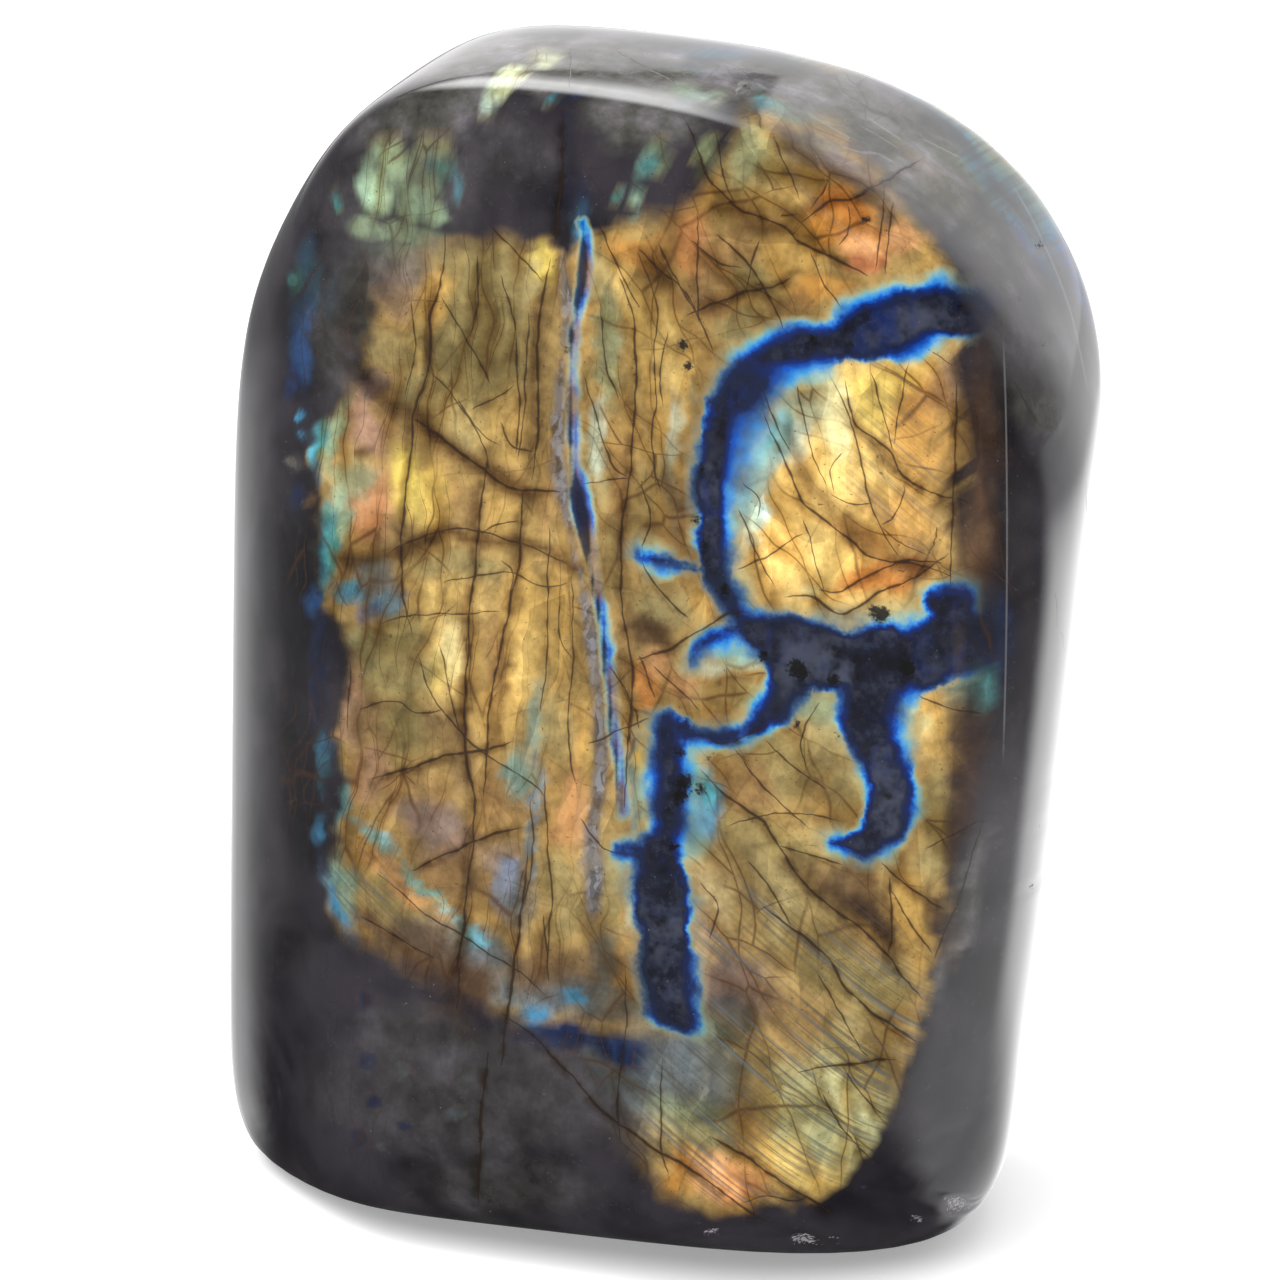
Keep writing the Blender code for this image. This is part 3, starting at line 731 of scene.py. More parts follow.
# fine cracks, one to one and a half pixels wide
fineCracks = [
    [(477, 250), (478, 300), (470, 340)], [(488, 225), (516, 253), (544, 283)], [(502, 274), (516, 333)],
    [(530, 309), (526, 369), (523, 421), (517, 463)], [(439, 295), (467, 340), (495, 390)],
    [(428, 369), (453, 397), (481, 439), (491, 474)], [(470, 411), (498, 397), (516, 383)],
    [(488, 456), (481, 509)], [(410, 300), (414, 345), (405, 400)], [(455, 395), (478, 430), (500, 446)],
    [(500, 420), (512, 446), (536, 452)],
    [(635, 246), (656, 298), (653, 351), (657, 404), (652, 445), (660, 500)],
    [(597, 218), (621, 274), (640, 310)], [(583, 369), (597, 421), (614, 467), (635, 481)],
    [(698, 211), (697, 263), (699, 326)], [(635, 246), (662, 270), (684, 290), (698, 316), (714, 354)],
    [(656, 239), (679, 284), (698, 316)], [(684, 316), (719, 302), (750, 288)],
    [(668, 330), (660, 372), (664, 410)], [(600, 300), (606, 360), (620, 400)], [(829, 179), (809, 211)],
    [(848, 204), (849, 230), (835, 249)], [(809, 249), (825, 284), (843, 309)],
    [(886, 182), (880, 230), (876, 271)], [(893, 200), (887, 240), (886, 275)],
    [(733, 203), (722, 170), (716, 130)], [(772, 132), (785, 165), (800, 200)],
    [(760, 240), (750, 268), (745, 292)], [(690, 240), (716, 262), (744, 270)],
    [(870, 370), (886, 421), (894, 453)], [(911, 357), (902, 399), (894, 447)],
    [(797, 383), (806, 427), (816, 463), (829, 494)],
    [(829, 370), (854, 431), (867, 485), (880, 526), (902, 561)], [(803, 517), (813, 552), (825, 593)],
    [(736, 504), (755, 549), (778, 593)], [(736, 571), (768, 555), (806, 533)],
    [(829, 494), (854, 504), (873, 501)], [(905, 485), (895, 517), (880, 526)], [(924, 348), (956, 367)],
    [(760, 385), (776, 420), (790, 452)], [(842, 452), (830, 470), (834, 494)],
    [(880, 526), (905, 545), (930, 556)], [(742, 480), (760, 500), (756, 520)],
    [(551, 520), (547, 608), (546, 661), (540, 720)], [(572, 566), (573, 661), (568, 731), (579, 801)],
    [(354, 710), (396, 701), (417, 712), (446, 710)],
    [(375, 625), (411, 615), (446, 615), (474, 613), (505, 612)],
    [(439, 585), (467, 578), (509, 573), (547, 587), (572, 580)], [(481, 534), (498, 524), (519, 520)],
    [(579, 485), (607, 480), (632, 478)],
    [(414, 643), (432, 696), (460, 731), (488, 755), (526, 780), (551, 801)],
    [(607, 661), (632, 703), (640, 730)], [(586, 745), (621, 729), (650, 718)],
    [(530, 794), (533, 854), (523, 906), (516, 959)], [(544, 766), (547, 836), (551, 906), (544, 976)],
    [(579, 818), (604, 850), (639, 856)], [(351, 661), (347, 731)],
    [(733, 747), (754, 775), (782, 803), (811, 831)], [(726, 827), (758, 817), (796, 813), (846, 824)],
    [(775, 845), (811, 855), (845, 866)], [(747, 859), (768, 887), (793, 929)],
    [(891, 887), (909, 922), (933, 954)], [(818, 971), (846, 1024), (870, 1059)],
    [(923, 852), (951, 834), (986, 820)], [(919, 697), (951, 708), (986, 715)],
    [(742, 1204), (768, 1196), (794, 1201), (810, 1196)], [(663, 1054), (661, 1137), (668, 1185)],
    [(822, 1092), (841, 1127), (873, 1162)], [(841, 1064), (867, 1099), (886, 1118)],
    [(544, 914), (548, 984)], [(627, 962), (627, 1025), (618, 1089), (621, 1153)],
    [(372, 869), (423, 911), (461, 936), (519, 971), (551, 1003)], [(359, 914), (398, 939), (440, 960)],
    [(571, 45), (569, 92)], [(613, 49), (662, 76), (676, 84)], [(756, 107), (761, 129)],
    [(440, 640), (450, 700), (462, 735)],
    [(380, 560), (400, 545), (446, 530), (491, 534), (533, 548), (572, 566)],
    [(500, 560), (512, 574), (509, 608)], [(560, 600), (560, 640), (572, 661)],
    [(640, 560), (660, 590), (690, 620)], [(652, 665), (680, 690), (700, 712)],
    [(655, 700), (648, 676), (640, 655)], [(820, 700), (800, 740), (806, 770)],
    [(764, 740), (790, 765), (830, 790)], [(700, 880), (716, 905), (710, 940)],
    [(640, 480), (650, 520), (640, 548)], [(1056, 592), (1058, 630)], [(1063, 630), (1066, 655)],
    [(1085, 478), (1088, 517)], [(984, 812), (968, 868), (950, 920), (930, 968)],
    [(1012, 380), (1040, 424), (1060, 428)],
]

# pale lines: scratches and worn lines, and painted highlights along the right edge, the right shoulder and the
# top right
scratchesAndPaintedHighlights = [
    [(805, 112), (850, 138), (899, 165)], [(841, 147), (868, 154)], [(868, 118), (903, 141)],
    [(921, 138), (961, 158)], [(1003, 330), (1006, 420), (1007, 540), (1006, 650), (1003, 770)],
    [(735, 92), (742, 86)], [(757, 84), (766, 88)], [(1010, 180), (1040, 235), (1070, 310), (1090, 400)],
]

# where fine parallel lines comb the flash: across, down, half width, half height, turn, amount
combedPatches = [(800, 1060, 130, 150, 35, 1.0), (710, 1130, 90, 60, 35, 1.0), (760, 960, 90, 70, 35, 0.8),
                 (390, 900, 70, 34, 38, 1.0), (900, 470, 60, 90, 0, 0.45), (830, 200, 60, 30, 35, 0.3)]

# black pits and dark spots: across, down, half size
pits = [
    (763, 657, 6), (796, 668, 9), (802, 674, 7), (833, 680, 7), (907, 669, 9), (881, 615, 9),
    (873, 611, 6), (679, 752, 6), (707, 758, 3), (684, 782, 9), (700, 789, 6), (680, 797, 8),
    (667, 811, 4), (674, 847, 6), (889, 796, 3), (796, 724, 4), (838, 738, 2), (682, 345, 6),
    (688, 366, 5), (866, 219, 5), (747, 87, 6), (702, 470, 4), (696, 520, 5), (704, 545, 4), (724, 590, 6),
    (1040, 245, 4), (567, 350, 3), (1018, 360, 3), (812, 340, 5), (850, 345, 4), (1056, 771, 3),
    (1030, 795, 3), (1037, 824, 4), (1052, 848, 3), (1033, 887, 3), (1018, 300, 3), (1044, 345, 2),
]

# chips on the lower edge, ground white: across, down, half width, half height
chips = [(955, 1205, 9, 8), (966, 1206, 6, 5), (915, 1219, 6, 4), (800, 1240, 11, 5), (812, 1243, 6, 4),
         (712, 1233, 8, 3), (835, 1241, 4, 3)]


markForm = {                        # in pixels of the photograph's frame, the depths in metres
    "crack widths": (1.5, 0.8),     # strong and fine
    "crack reach": 10.0,            # how far from a crack its width still counts
    "line room": 40.0,              # how far from a line it is looked for
    "families apart": 20.0,
    "side seen": (0.02, 0.20),      # how squarely the surface has to face the camera
    "rim width": 6.0,
    "blue glow shift": (3.5, 0.0),
    "band end": (958.0, 992.0),     # the bands fade out here, at the edge of the face
    "far off": 200.0,
    "chip spread": 1.2,
    "chip turn": -10.0,
    "chip depth": 0.00045,
    "pit depth": 0.00025,
}


def smoothLine(points, steps=6):
    # a drawn line made round through its points
    points = np.array(points, dtype=float)
    if len(points) < 3:
        return points
    padded = np.vstack([2 * points[0] - points[1], points, 2 * points[-1] - points[-2]])
    out = []
    for index in range(1, len(padded) - 2):
        before, start, end, after = padded[index - 1:index + 3]
        for t in np.linspace(0.0, 1.0, steps, endpoint=False):
            second = 2 * before - 5 * start + 4 * end - after
            third = 3 * start - before - 3 * end + after
            out.append(0.5 * (2 * start + (end - before) * t + second * t ** 2 + third * t ** 3))
    out.append(points[-1])
    return np.array(out)


def stretchDistance(pixels, start, end):
    # distance to a straight stretch, where along it the nearest place is, its run and the way from its start
    step = end[:2] - start[:2]
    offset = pixels - start[:2]
    t = np.clip(offset @ step / max(step @ step, 1e-9), 0.0, 1.0)
    return np.hypot(*(offset - t[:, None] * step).T), t, step, offset


def lineDistance(pixels, line):
    # distance to a line, side of it, and how far along it the nearest place is, 0 to 1
    best = np.full(len(pixels), 1e9)
    side = np.ones(len(pixels))
    along = np.zeros(len(pixels))
    lengths = np.linalg.norm(np.diff(line, axis=0), axis=1)
    starts = np.concatenate([[0.0], np.cumsum(lengths)])
    for index in range(len(line) - 1):
        distance, t, step, offset = stretchDistance(pixels, line[index], line[index + 1])
        closer = distance < best
        best[closer] = distance[closer]
        turn = step[0] * offset[:, 1] - step[1] * offset[:, 0]
        side[closer] = np.where(turn[closer] >= 0.0, 1.0, -1.0)
        along[closer] = (starts[index] + t[closer] * lengths[index]) / starts[-1]
    return best, side, along


def lineFamilies(lines):
    # lines that cross or come close go into different families
    families = []
    for line, width in lines:
        line = smoothLine(line)
        for family in families:
            gaps = [np.linalg.norm(line[:, None] - other[None], axis=2).min() for other, _ in family]
            if min(gaps) > markForm["families apart"]:
                family.append((line, width))
                break
        else:
            families.append([(line, width)])
    return families


strongWidth, fineWidth = markForm["crack widths"]
crackFamilies = lineFamilies([(line, strongWidth) for line in strongCracks]
                             + [(line, fineWidth) for line in fineCracks])


def familyField(pixels, family):
    # signed distance to the nearest line, and that line's width, which fades out at its ends
    room = markForm["line room"]
    nearest = np.full(len(pixels), room)
    signed = np.full(len(pixels), room)
    wide = np.zeros(len(pixels))
    for line, width in family:
        low, high = line.min(axis=0) - room, line.max(axis=0) + room
        near = np.flatnonzero(((pixels > low) & (pixels < high)).all(axis=1))
        distance, side, along = lineDistance(pixels[near], line)
        closer = distance < nearest[near]
        chosen = near[closer]
        taper = np.clip(np.minimum(along, 1.0 - along) * 6.0, 0.0, 1.0)[closer]
        nearest[chosen] = distance[closer]
        signed[chosen] = (distance * side)[closer]
        wide[chosen] = taper * width
    wide[nearest > markForm["crack reach"]] = 0.0
    return signed, wide


def strokeDistance(pixels, stroke):
    # distance to the edge of a stroke whose half width changes along it, negative inside
    fine = smoothLine(stroke)
    best = np.full(len(pixels), 1e9)
    for start, end in zip(fine[:-1], fine[1:]):
        gap, t, _, _ = stretchDistance(pixels, start, end)
        best = np.minimum(best, gap - (start[2] + t * (end[2] - start[2])))
    return best


def outlineDistance(pixels, outline):
    # signed distance to a closed outline, negative inside, and the softness at the nearest place
    closed = np.vstack([outline, outline[:1]]).astype(float)
    best = np.full(len(pixels), 1e9)
    soft = np.ones(len(pixels))
    inside = np.zeros(len(pixels), dtype=bool)
    for start, end in zip(closed[:-1], closed[1:]):
        gap, t, step, _ = stretchDistance(pixels, start, end)
        closer = gap < best
        best[closer] = gap[closer]
        soft[closer] = (start[2] + t * (end[2] - start[2]))[closer]
        crosses = (start[1] > pixels[:, 1]) != (end[1] > pixels[:, 1])
        rise = step[1] if abs(step[1]) > 1e-9 else 1e-9
        inside ^= crosses & (pixels[:, 0] < start[0] + (pixels[:, 1] - start[1]) / rise * step[0])
    return np.where(inside, -best, best), soft


def ripple(pixels, seed, size, count=14):
    # smooth wandering value, about -1 to 1, that varies over the given number of pixels
    random = np.random.default_rng(seed)
    value = np.zeros(len(pixels))
    for _ in range(count):
        angle, phase = random.uniform(0.0, 2.0 * math.pi, 2)
        pace = 2.0 * math.pi / (size * random.uniform(0.6, 1.7))
        value += np.sin(pixels @ (pace * np.array([math.cos(angle), math.sin(angle)])) + phase)
    return value / math.sqrt(count)


def wander(pixels):
    # pulls the drawn patches into natural, uneven outlines
    coarse = np.stack([ripple(pixels, 3, 70), ripple(pixels, 4, 70)], axis=1) * 5.0
    fine = np.stack([ripple(pixels, 5, 24), ripple(pixels, 6, 24)], axis=1) * 2.5
    return pixels + coarse + fine


def smoothStep(value, low, high):
    t = np.clip((value - low) / (high - low), 0.0, 1.0)
    return t * t * (3.0 - 2.0 * t)


def patchWeight(pixels, across, down, halfWide, halfHigh, turn=0.0):
    angle = math.radians(turn)
    x, y = pixels[:, 0] - across, pixels[:, 1] - down
    u = (x * math.cos(angle) + y * math.sin(angle)) / halfWide
    v = (y * math.cos(angle) - x * math.sin(angle)) / halfHigh
    return 1.0 - smoothStep(np.hypot(u, v), 0.55, 1.35)


def keepMark(mesh, name, values):
    # a number or a vector at each point, for the finish to read
    kind, field = ("FLOAT", "value") if values.ndim == 1 else ("FLOAT_VECTOR", "vector")
    attribute = mesh.attributes.new(name, kind, "POINT")
    attribute.data.foreach_set(field, np.ascontiguousarray(values, dtype=np.float32).ravel())


def keepDistance(mesh, name, front, distance):
    # far off on the sides that the photograph doesn't show
    keepMark(mesh, name, np.where(front > 0.0, distance, markForm["far off"]))


def dab(tint, weight, colour):
    tint += weight[:, None] * (np.array(linear(palette[colour])[:3]) - tint)


def markFlash(mesh, front, pixels, strayed):
    tint = np.tile(np.array(linear(palette["field"])[:3]), (len(pixels), 1))
    for *place, colour, strength in patches:
        dab(tint, strength * patchWeight(strayed, *place), colour)
    edge, soft = outlineDistance(strayed, np.array(flashOutline))
    flash = 1.0 - smoothStep(edge / soft, -1.0, 1.0)
    spark = np.zeros(len(pixels))
    ragged = pixels + 0.6 * (strayed - pixels)
    # small flashes, and the painted dark reflection down the rounded sides
    for across, down, halfWide, halfHigh, turn, colour, strength in sparksAndPaintedDark:
        weight = patchWeight(ragged, across, down, halfWide, halfHigh, turn)
        wider = patchWeight(ragged, across, down, 1.8 * halfWide, 1.8 * halfHigh, turn) * (1.0 - flash)
        dab(tint, np.maximum(wider, weight), colour)
        spark = np.maximum(spark, weight * strength)
    keepMark(mesh, "flashTint", tint)
    keepMark(mesh, "flash", front * np.maximum(flash, spark))
    shade = np.zeros(len(pixels))
    for stroke, half, strength in shadeStrokes:
        distance, _, _ = lineDistance(ragged, smoothLine(stroke))
        shade = np.maximum(shade, strength * (1.0 - smoothStep(distance / half, 0.1, 1.6)))
    keepMark(mesh, "shade", shade * front)
    # painted reflection on the dark body, with its own paler mottle on the brow
    lift = np.max([amount * patchWeight(strayed, *place) for *place, amount in paintedBodyReflections], axis=0)
    keepMark(mesh, "paintedReflection", lift * front)
    comb = sum(amount * patchWeight(strayed, *place) for *place, amount in combedPatches)
    keepMark(mesh, "comb", np.clip(comb, 0.0, 1.0) * front)


def markBands(mesh, front, pixels):
    band = np.min([strokeDistance(pixels, stroke) for stroke in darkBands.values()], axis=0)
    keepDistance(mesh, "band", front, band)
    rim = np.full(len(pixels), markForm["rim width"])
    for *place, extra in wideRims:
        rim += extra * patchWeight(pixels, *place)
    keepMark(mesh, "rim", rim)
    dull = np.max([amount * patchWeight(pixels, *place) for *place, amount in dullRims], axis=0)
    keepMark(mesh, "glow", 1.0 - dull)
    stony = np.max([patchWeight(pixels, *place) for place in stonyBands], axis=0)
    keepMark(mesh, "bandStone", 0.25 + 0.75 * stony)
    keepMark(mesh, "bandKeep", 1.0 - smoothStep(pixels[:, 0], *markForm["band end"]))
    keepDistance(mesh, "vein", front, strokeDistance(pixels, greyVein))
    keepDistance(mesh, "blueLine", front, strokeDistance(pixels, blueLine))
    shifted = pixels - np.array(markForm["blue glow shift"])
    keepDistance(mesh, "blueGlow", front, strokeDistance(shifted, blueLine))


def markCracks(mesh, front, pixels):
    # three families at a time, side by side in a vector
    for index in range(0, len(crackFamilies), 3):
        fields = [familyField(pixels, family) for family in crackFamilies[index:index + 3]]
        while len(fields) < 3:
            fields.append((np.full(len(pixels), markForm["line room"]), np.zeros(len(pixels))))
        keepMark(mesh, "crackGap%d" % (index // 3), np.stack([gap for gap, _ in fields], axis=1))
        keepMark(mesh, "crackWide%d" % (index // 3), np.stack([wide * front for _, wide in fields], axis=1))
    # pale lines: scratches, and painted highlights along the edges
    gap, wide = familyField(pixels, [(smoothLine(line), 1.0) for line in scratchesAndPaintedHighlights])
    keepMark(mesh, "pale", gap)
    keepMark(mesh, "scratchAndHighlightWidth", wide * front)


def markWear(mesh, front, pixels):
    # pits and chips, and how deep they go
    pit = np.min([np.hypot(pixels[:, 0] - x, pixels[:, 1] - y) - size for x, y, size in pits], axis=0)
    keepDistance(mesh, "pit", front, pit)
    spread, turn = markForm["chip spread"], markForm["chip turn"]
    chip = front * np.max([patchWeight(pixels, x, y, wide * spread, high * spread, turn)
                           for x, y, wide, high in chips], axis=0)
    keepMark(mesh, "chip", chip)
    return markForm["chip depth"] * chip + markForm["pit depth"] * (1.0 - smoothStep(pit, -4.0, 3.0)) * front


def markStone(stone):
    mesh = stone.data
    points, normals = meshVectors(mesh, "co"), meshVectors(mesh, "normal")
    toCamera = np.array(camera.location) - points
    toCamera /= np.linalg.norm(toCamera, axis=1)[:, None]
    pixels = photoPixels(camera, points)
    front = smoothStep((toCamera * normals).sum(axis=1), *markForm["side seen"])
    markFlash(mesh, front, pixels, wander(pixels))
    markBands(mesh, front, pixels)
    markCracks(mesh, front, pixels)
    sink = markWear(mesh, front, pixels)
    setPoints(mesh, points - normals * sink[:, None])
    print("marks drawn on the stone")


# Colours are 0 to 255 screen values, in ramps after the place where each stands, with its cover behind it.
stoneFinish = {
    "body": ((22, 20, 24), (46, 43, 48), (78, 77, 78)),             # dark, light and misty
    "body speck": (58, 56, 60),
    "body crack": (14, 13, 14),
    "body painted reflection": [(0.34, (44, 43, 38)), (0.48, (74, 73, 67)), (0.60, (100, 97, 98)), (0.76, (136, 132, 138))],
    "faint flash": [(0.40, (30, 66, 128)), (0.47, (40, 112, 140)), (0.53, (96, 116, 92)),
                    (0.60, (134, 104, 56))],
    "flash balance": (0.99, 1.09, 1.04),
    "dyes": {"smoky": (190, 184, 160), "warm": (255, 236, 208), "crack edge": (184, 166, 132),
             "brown band": (128, 108, 98), "crack side": (160, 132, 96)},
    "combing": [                    # size, two limits, strength, colour
        ((60, 6, 0.40), 0.50, 0.60, 0.60, (66, 66, 60)), ((46, 6, 0.90), 0.54, 0.64, 0.44, (74, 84, 92)),
        ((60, 6, 0.30), 0.62, 0.72, 0.16, (160, 156, 124))],
    "crack brown": (62, 38, 20),
    "crack dark": (34, 21, 13),
    "band core": [(0.34, (12, 12, 18)), (0.50, (20, 22, 34)), (0.66, (38, 42, 58)), (0.80, (56, 58, 64))],
    "band cloud": (62, 66, 80),
    "band ink": (14, 34, 84),
    "rim": [(0.0, (18, 20, 34), 1.0), (0.27, (16, 22, 48), 1.0), (0.40, (12, 34, 92), 1.0),
            (0.47, (14, 70, 158), 1.0), (0.54, (36, 128, 190), 0.92), (0.61, (92, 170, 180), 0.58),
            (0.70, (160, 178, 140), 0.26), (0.86, (190, 180, 130), 0.0)],
    "dull rim": [(0.0, (18, 20, 30)), (0.40, (22, 28, 44)), (0.52, (40, 58, 76)), (0.66, (96, 104, 96)),
                 (1.0, (120, 116, 96))],
    "vein": ((50, 52, 56), (120, 122, 130)),
    "vein gap": (34, 30, 34),
    "blue line": [(0.0, (14, 36, 92), 0.95), (0.26, (20, 92, 176), 0.9), (0.46, (70, 168, 200), 0.6),
                  (0.66, (180, 206, 180), 0.25), (0.90, (200, 200, 160), 0.0)],
    "blue line core": (18, 20, 32),
    "pit": (12, 11, 10),
    "scratchAndHighlight": (150, 146, 146),
    "chip": (168, 162, 168),
    "roughness": (0.07, 0.13),
    "worn roughness": 0.6,
    "refraction": 1.54,
    "relief": (0.25, 0.0004),       # strength, and depth in metres
}


def bodyColour(tree, grain, behind, lines, speck):
    # the dark stone, clouded, and paler and mottled where its painted reflection and paler mottle are drawn
    dark, light, misty = stoneFinish["body"]
    cloud = noise(tree, grain, 0.055, 3.0, 0.62, 0.4)
    fleck = noise(tree, grain, 0.16, 5.0, 0.62)
    body = blend(tree, remap(tree, cloud, 0.35, 0.66), dark, light)
    body = blend(tree, remap(tree, speck, 0.58, 0.75, 0.0, 0.35), body, stoneFinish["body speck"])
    # painted reflection: paler mottled grey where the polish mirrors the bright surroundings
    pale, _ = rampNode(tree, fleck, stoneFinish["body painted reflection"])
    body = blend(tree, surfaceValue(tree, "paintedReflection"), body, pale)

    # the sides and the back, which the photograph hardly shows: misty patches, cleavage and faint flashes
    mist = times(tree, remap(tree, fleck, 0.42, 0.66), remap(tree, cloud, 0.40, 0.62), behind, 0.60)
    body = blend(tree, mist, body, misty)
    sheen = noiseNode(tree, stretched(tree, grain, -24, (22, 16, 34), (9, 4, 6)), 1.0, 2.0, 0.6)
    hue, _ = rampNode(tree, sheen["Color"], stoneFinish["faint flash"])
    stripes = noise(tree, stretched(tree, grain, -50, (40, 40, 0.8)), 1.0, 1.0)
    striped = remap(tree, stripes, 0.40, 0.60, 0.45, 1.0)
    faint = remap(tree, sheen["Fac"], 0.53, 0.66, 0.0, 0.70)
    body = blend(tree, times(tree, faint, striped, behind), body, hue)
    cleft = times(tree, lines, remap(tree, cloud, 0.40, 0.60), calc(tree, "MULTIPLY_ADD", behind, 0.42, 0.12))
    return blend(tree, cleft, body, stoneFinish["body crack"])


def plateColour(tree, grain, bent, flat):
    # tinted plates, each a little lighter or darker, some smoky and some warm
    light = 1.0
    warmth = []
    for turn, size, spread in ((10, (4.5, 20), 0.26), (-30, (9, 13), 0.20), (24, (3.0, 5.5), 0.12)):
        plate = addNode(tree, "ShaderNodeSeparateColor")
        tree.links.new(flatCells(tree, flat, turn, size)["Color"], plate.inputs["Color"])
        shade = remap(tree, plate.outputs["Red"], 0.0, 1.0, 1.0 - spread, 1.0 + 0.6 * spread, smooth=False)
        light = times(tree, shade, light)
        warmth.append(plate.outputs["Green"])
    mottle = remap(tree, noise(tree, grain, 0.45, 3.0, 0.66), 0.3, 0.7, 0.74, 1.20)
    tint = surfaceValue(tree, "flashTint", "Color")
    tint = vectorCalc(tree, "MULTIPLY", tint, stoneFinish["flash balance"])
    flash = scaled(tree, tint, times(tree, light, mottle))
    dyes = stoneFinish["dyes"]
    smoky = remap(tree, noise(tree, stretched(tree, bent, 12, (8, 20, 22)), 1.0, 3.0, 0.6), 0.46, 0.70)
    flash = blend(tree, times(tree, smoky, 0.55), flash, dyed(tree, flash, dyes["smoky"]))
    warm = remap(tree, warmth[0], 0.5, 1.0, 0.0, 0.6)
    return blend(tree, warm, flash, dyed(tree, flash, dyes["warm"]))


def flashColour(tree, grain, across):
    # the plates with wandering hair cracks over them, upright on the left and slanting on the right
    bend = noiseNode(tree, grain, 0.07, 2.0, 0.55)["Color"]
    bent = vectorCalc(tree, "ADD", grain, scaled(tree, bend, 7.0))
    flat = slanting(tree, bent)
    flash = plateColour(tree, grain, bent, flat)

    leftPart = remap(tree, across, -10.0, 12.0, 1.0, 0.0)
    rightPart = calc(tree, "SUBTRACT", 1.0, leftPart)
    here = remap(tree, noise(tree, grain, 0.09, 1.0), 0.36, 0.60, 0.25, 1.0)
    sometimes = remap(tree, noise(tree, grain, 0.11, 1.0), 0.46, 0.60)
    upright, uprightEdge = shards(tree, flat, 9, (6.0, 36), 0.024)
    smaller, smallerEdge = shards(tree, flat, 14, (3.0, 15), 0.032, (3, 8))
    level, levelEdge = shards(tree, flat, -14, (22, 11), 0.016, (7, 1))
    slanted, slantedEdge = shards(tree, flat, 38, (26, 9.0), 0.020, (2, 4))
    steep, steepEdge = shards(tree, flat, 72, (20, 7.5), 0.022, (5, 6))
    needles, _ = shards(tree, flat, 4, (3.2, 46), 0.022, (1, 2))

    def onEither(left, right, both, little):
        left = larger(tree, left, times(tree, little, sometimes))
        sides = larger(tree, times(tree, left, leftPart), times(tree, right, rightPart))
        return larger(tree, sides, times(tree, both, sometimes))

    lines = onEither(larger(tree, upright, needles), larger(tree, slanted, steep), level, smaller)
    edges = onEither(uprightEdge, larger(tree, slantedEdge, steepEdge), times(tree, levelEdge, 0.5),
                     times(tree, smallerEdge, 0.7))
    dyes = stoneFinish["dyes"]
    flash = blend(tree, times(tree, edges, here, 0.85), flash, dyed(tree, flash, dyes["crack edge"]))
    flash = blend(tree, times(tree, lines, here, 0.70), flash, stoneFinish["crack brown"])
    specks = remap(tree, noise(tree, grain, 2.2, 1.0), 0.70, 0.78, 0.0, 0.6)
    flash = blend(tree, specks, flash, stoneFinish["crack brown"])
    return blend(tree, surfaceValue(tree, "shade"), flash, dyed(tree, flash, dyes["brown band"])), lines


def combFlash(tree, grain, colour):
    # close parallel lines, slate and pale
    patchy = noise(tree, stretched(tree, grain, 36, (14, 9, 5)), 1.0, 2.0, 0.6)
    comb = times(tree, surfaceValue(tree, "comb"), remap(tree, patchy, 0.36, 0.58, 0.25, 1.0))
    for size, low, high, strength, shade in stoneFinish["combing"]:
        line = noise(tree, stretched(tree, grain, 36, size), 1.0, 1.0, 0.5)
        amount = times(tree, remap(tree, line, low, high), times(tree, comb, strength))
        colour = blend(tree, amount, colour, shade)
    return colour


def bandColour(tree, grain, colour):
    # dark bands, with blue rims that frill outwards
    frill = noise(tree, grain, 0.26, 4.0, 0.62)
    fine = noise(tree, grain, 1.3, 2.0, 0.6)
    stray = calc(tree, "ADD", swing(tree, frill, 0.5, 24.0), swing(tree, fine, 0.5, 3.5))
    uneven = remap(tree, noise(tree, grain, 0.14, 1.0), 0.36, 0.64, 0.60, 1.55)
    depth = calc(tree, "ADD", surfaceValue(tree, "band"), stray)
    place = calc(tree, "DIVIDE", depth, times(tree, surfaceValue(tree, "rim"), uneven))
    place = remap(tree, place, -3.0, 3.0, smooth=False)

    core, _ = rampNode(tree, noise(tree, grain, 0.35, 4.0, 0.7), stoneFinish["band core"])
    cloudy = remap(tree, noise(tree, grain, 0.20, 3.0, 0.7), 0.42, 0.68, 0.0, 0.70)
    core = blend(tree, times(tree, cloudy, surfaceValue(tree, "bandStone")), core, stoneFinish["band cloud"])
    inky = noise(tree, stretched(tree, grain, 8, (5, 9, 10)), 1.0, 3.0, 0.7)
    core = blend(tree, remap(tree, inky, 0.50, 0.74, 0.0, 0.6), core, stoneFinish["band ink"])

    rim, cover = rampNode(tree, place, stoneFinish["rim"])
    dullRim, _ = rampNode(tree, place, stoneFinish["dull rim"])
    lively = remap(tree, noise(tree, grain, 0.17, 2.0), 0.38, 0.60, 0.20, 0.95)
    rim = blend(tree, times(tree, surfaceValue(tree, "glow"), lively), dullRim, rim)
    rim = blend(tree, remap(tree, place, 0.16, 0.36, 1.0, 0.0), rim, core)
    return blend(tree, times(tree, cover, surfaceValue(tree, "bandKeep")), colour, rim), stray


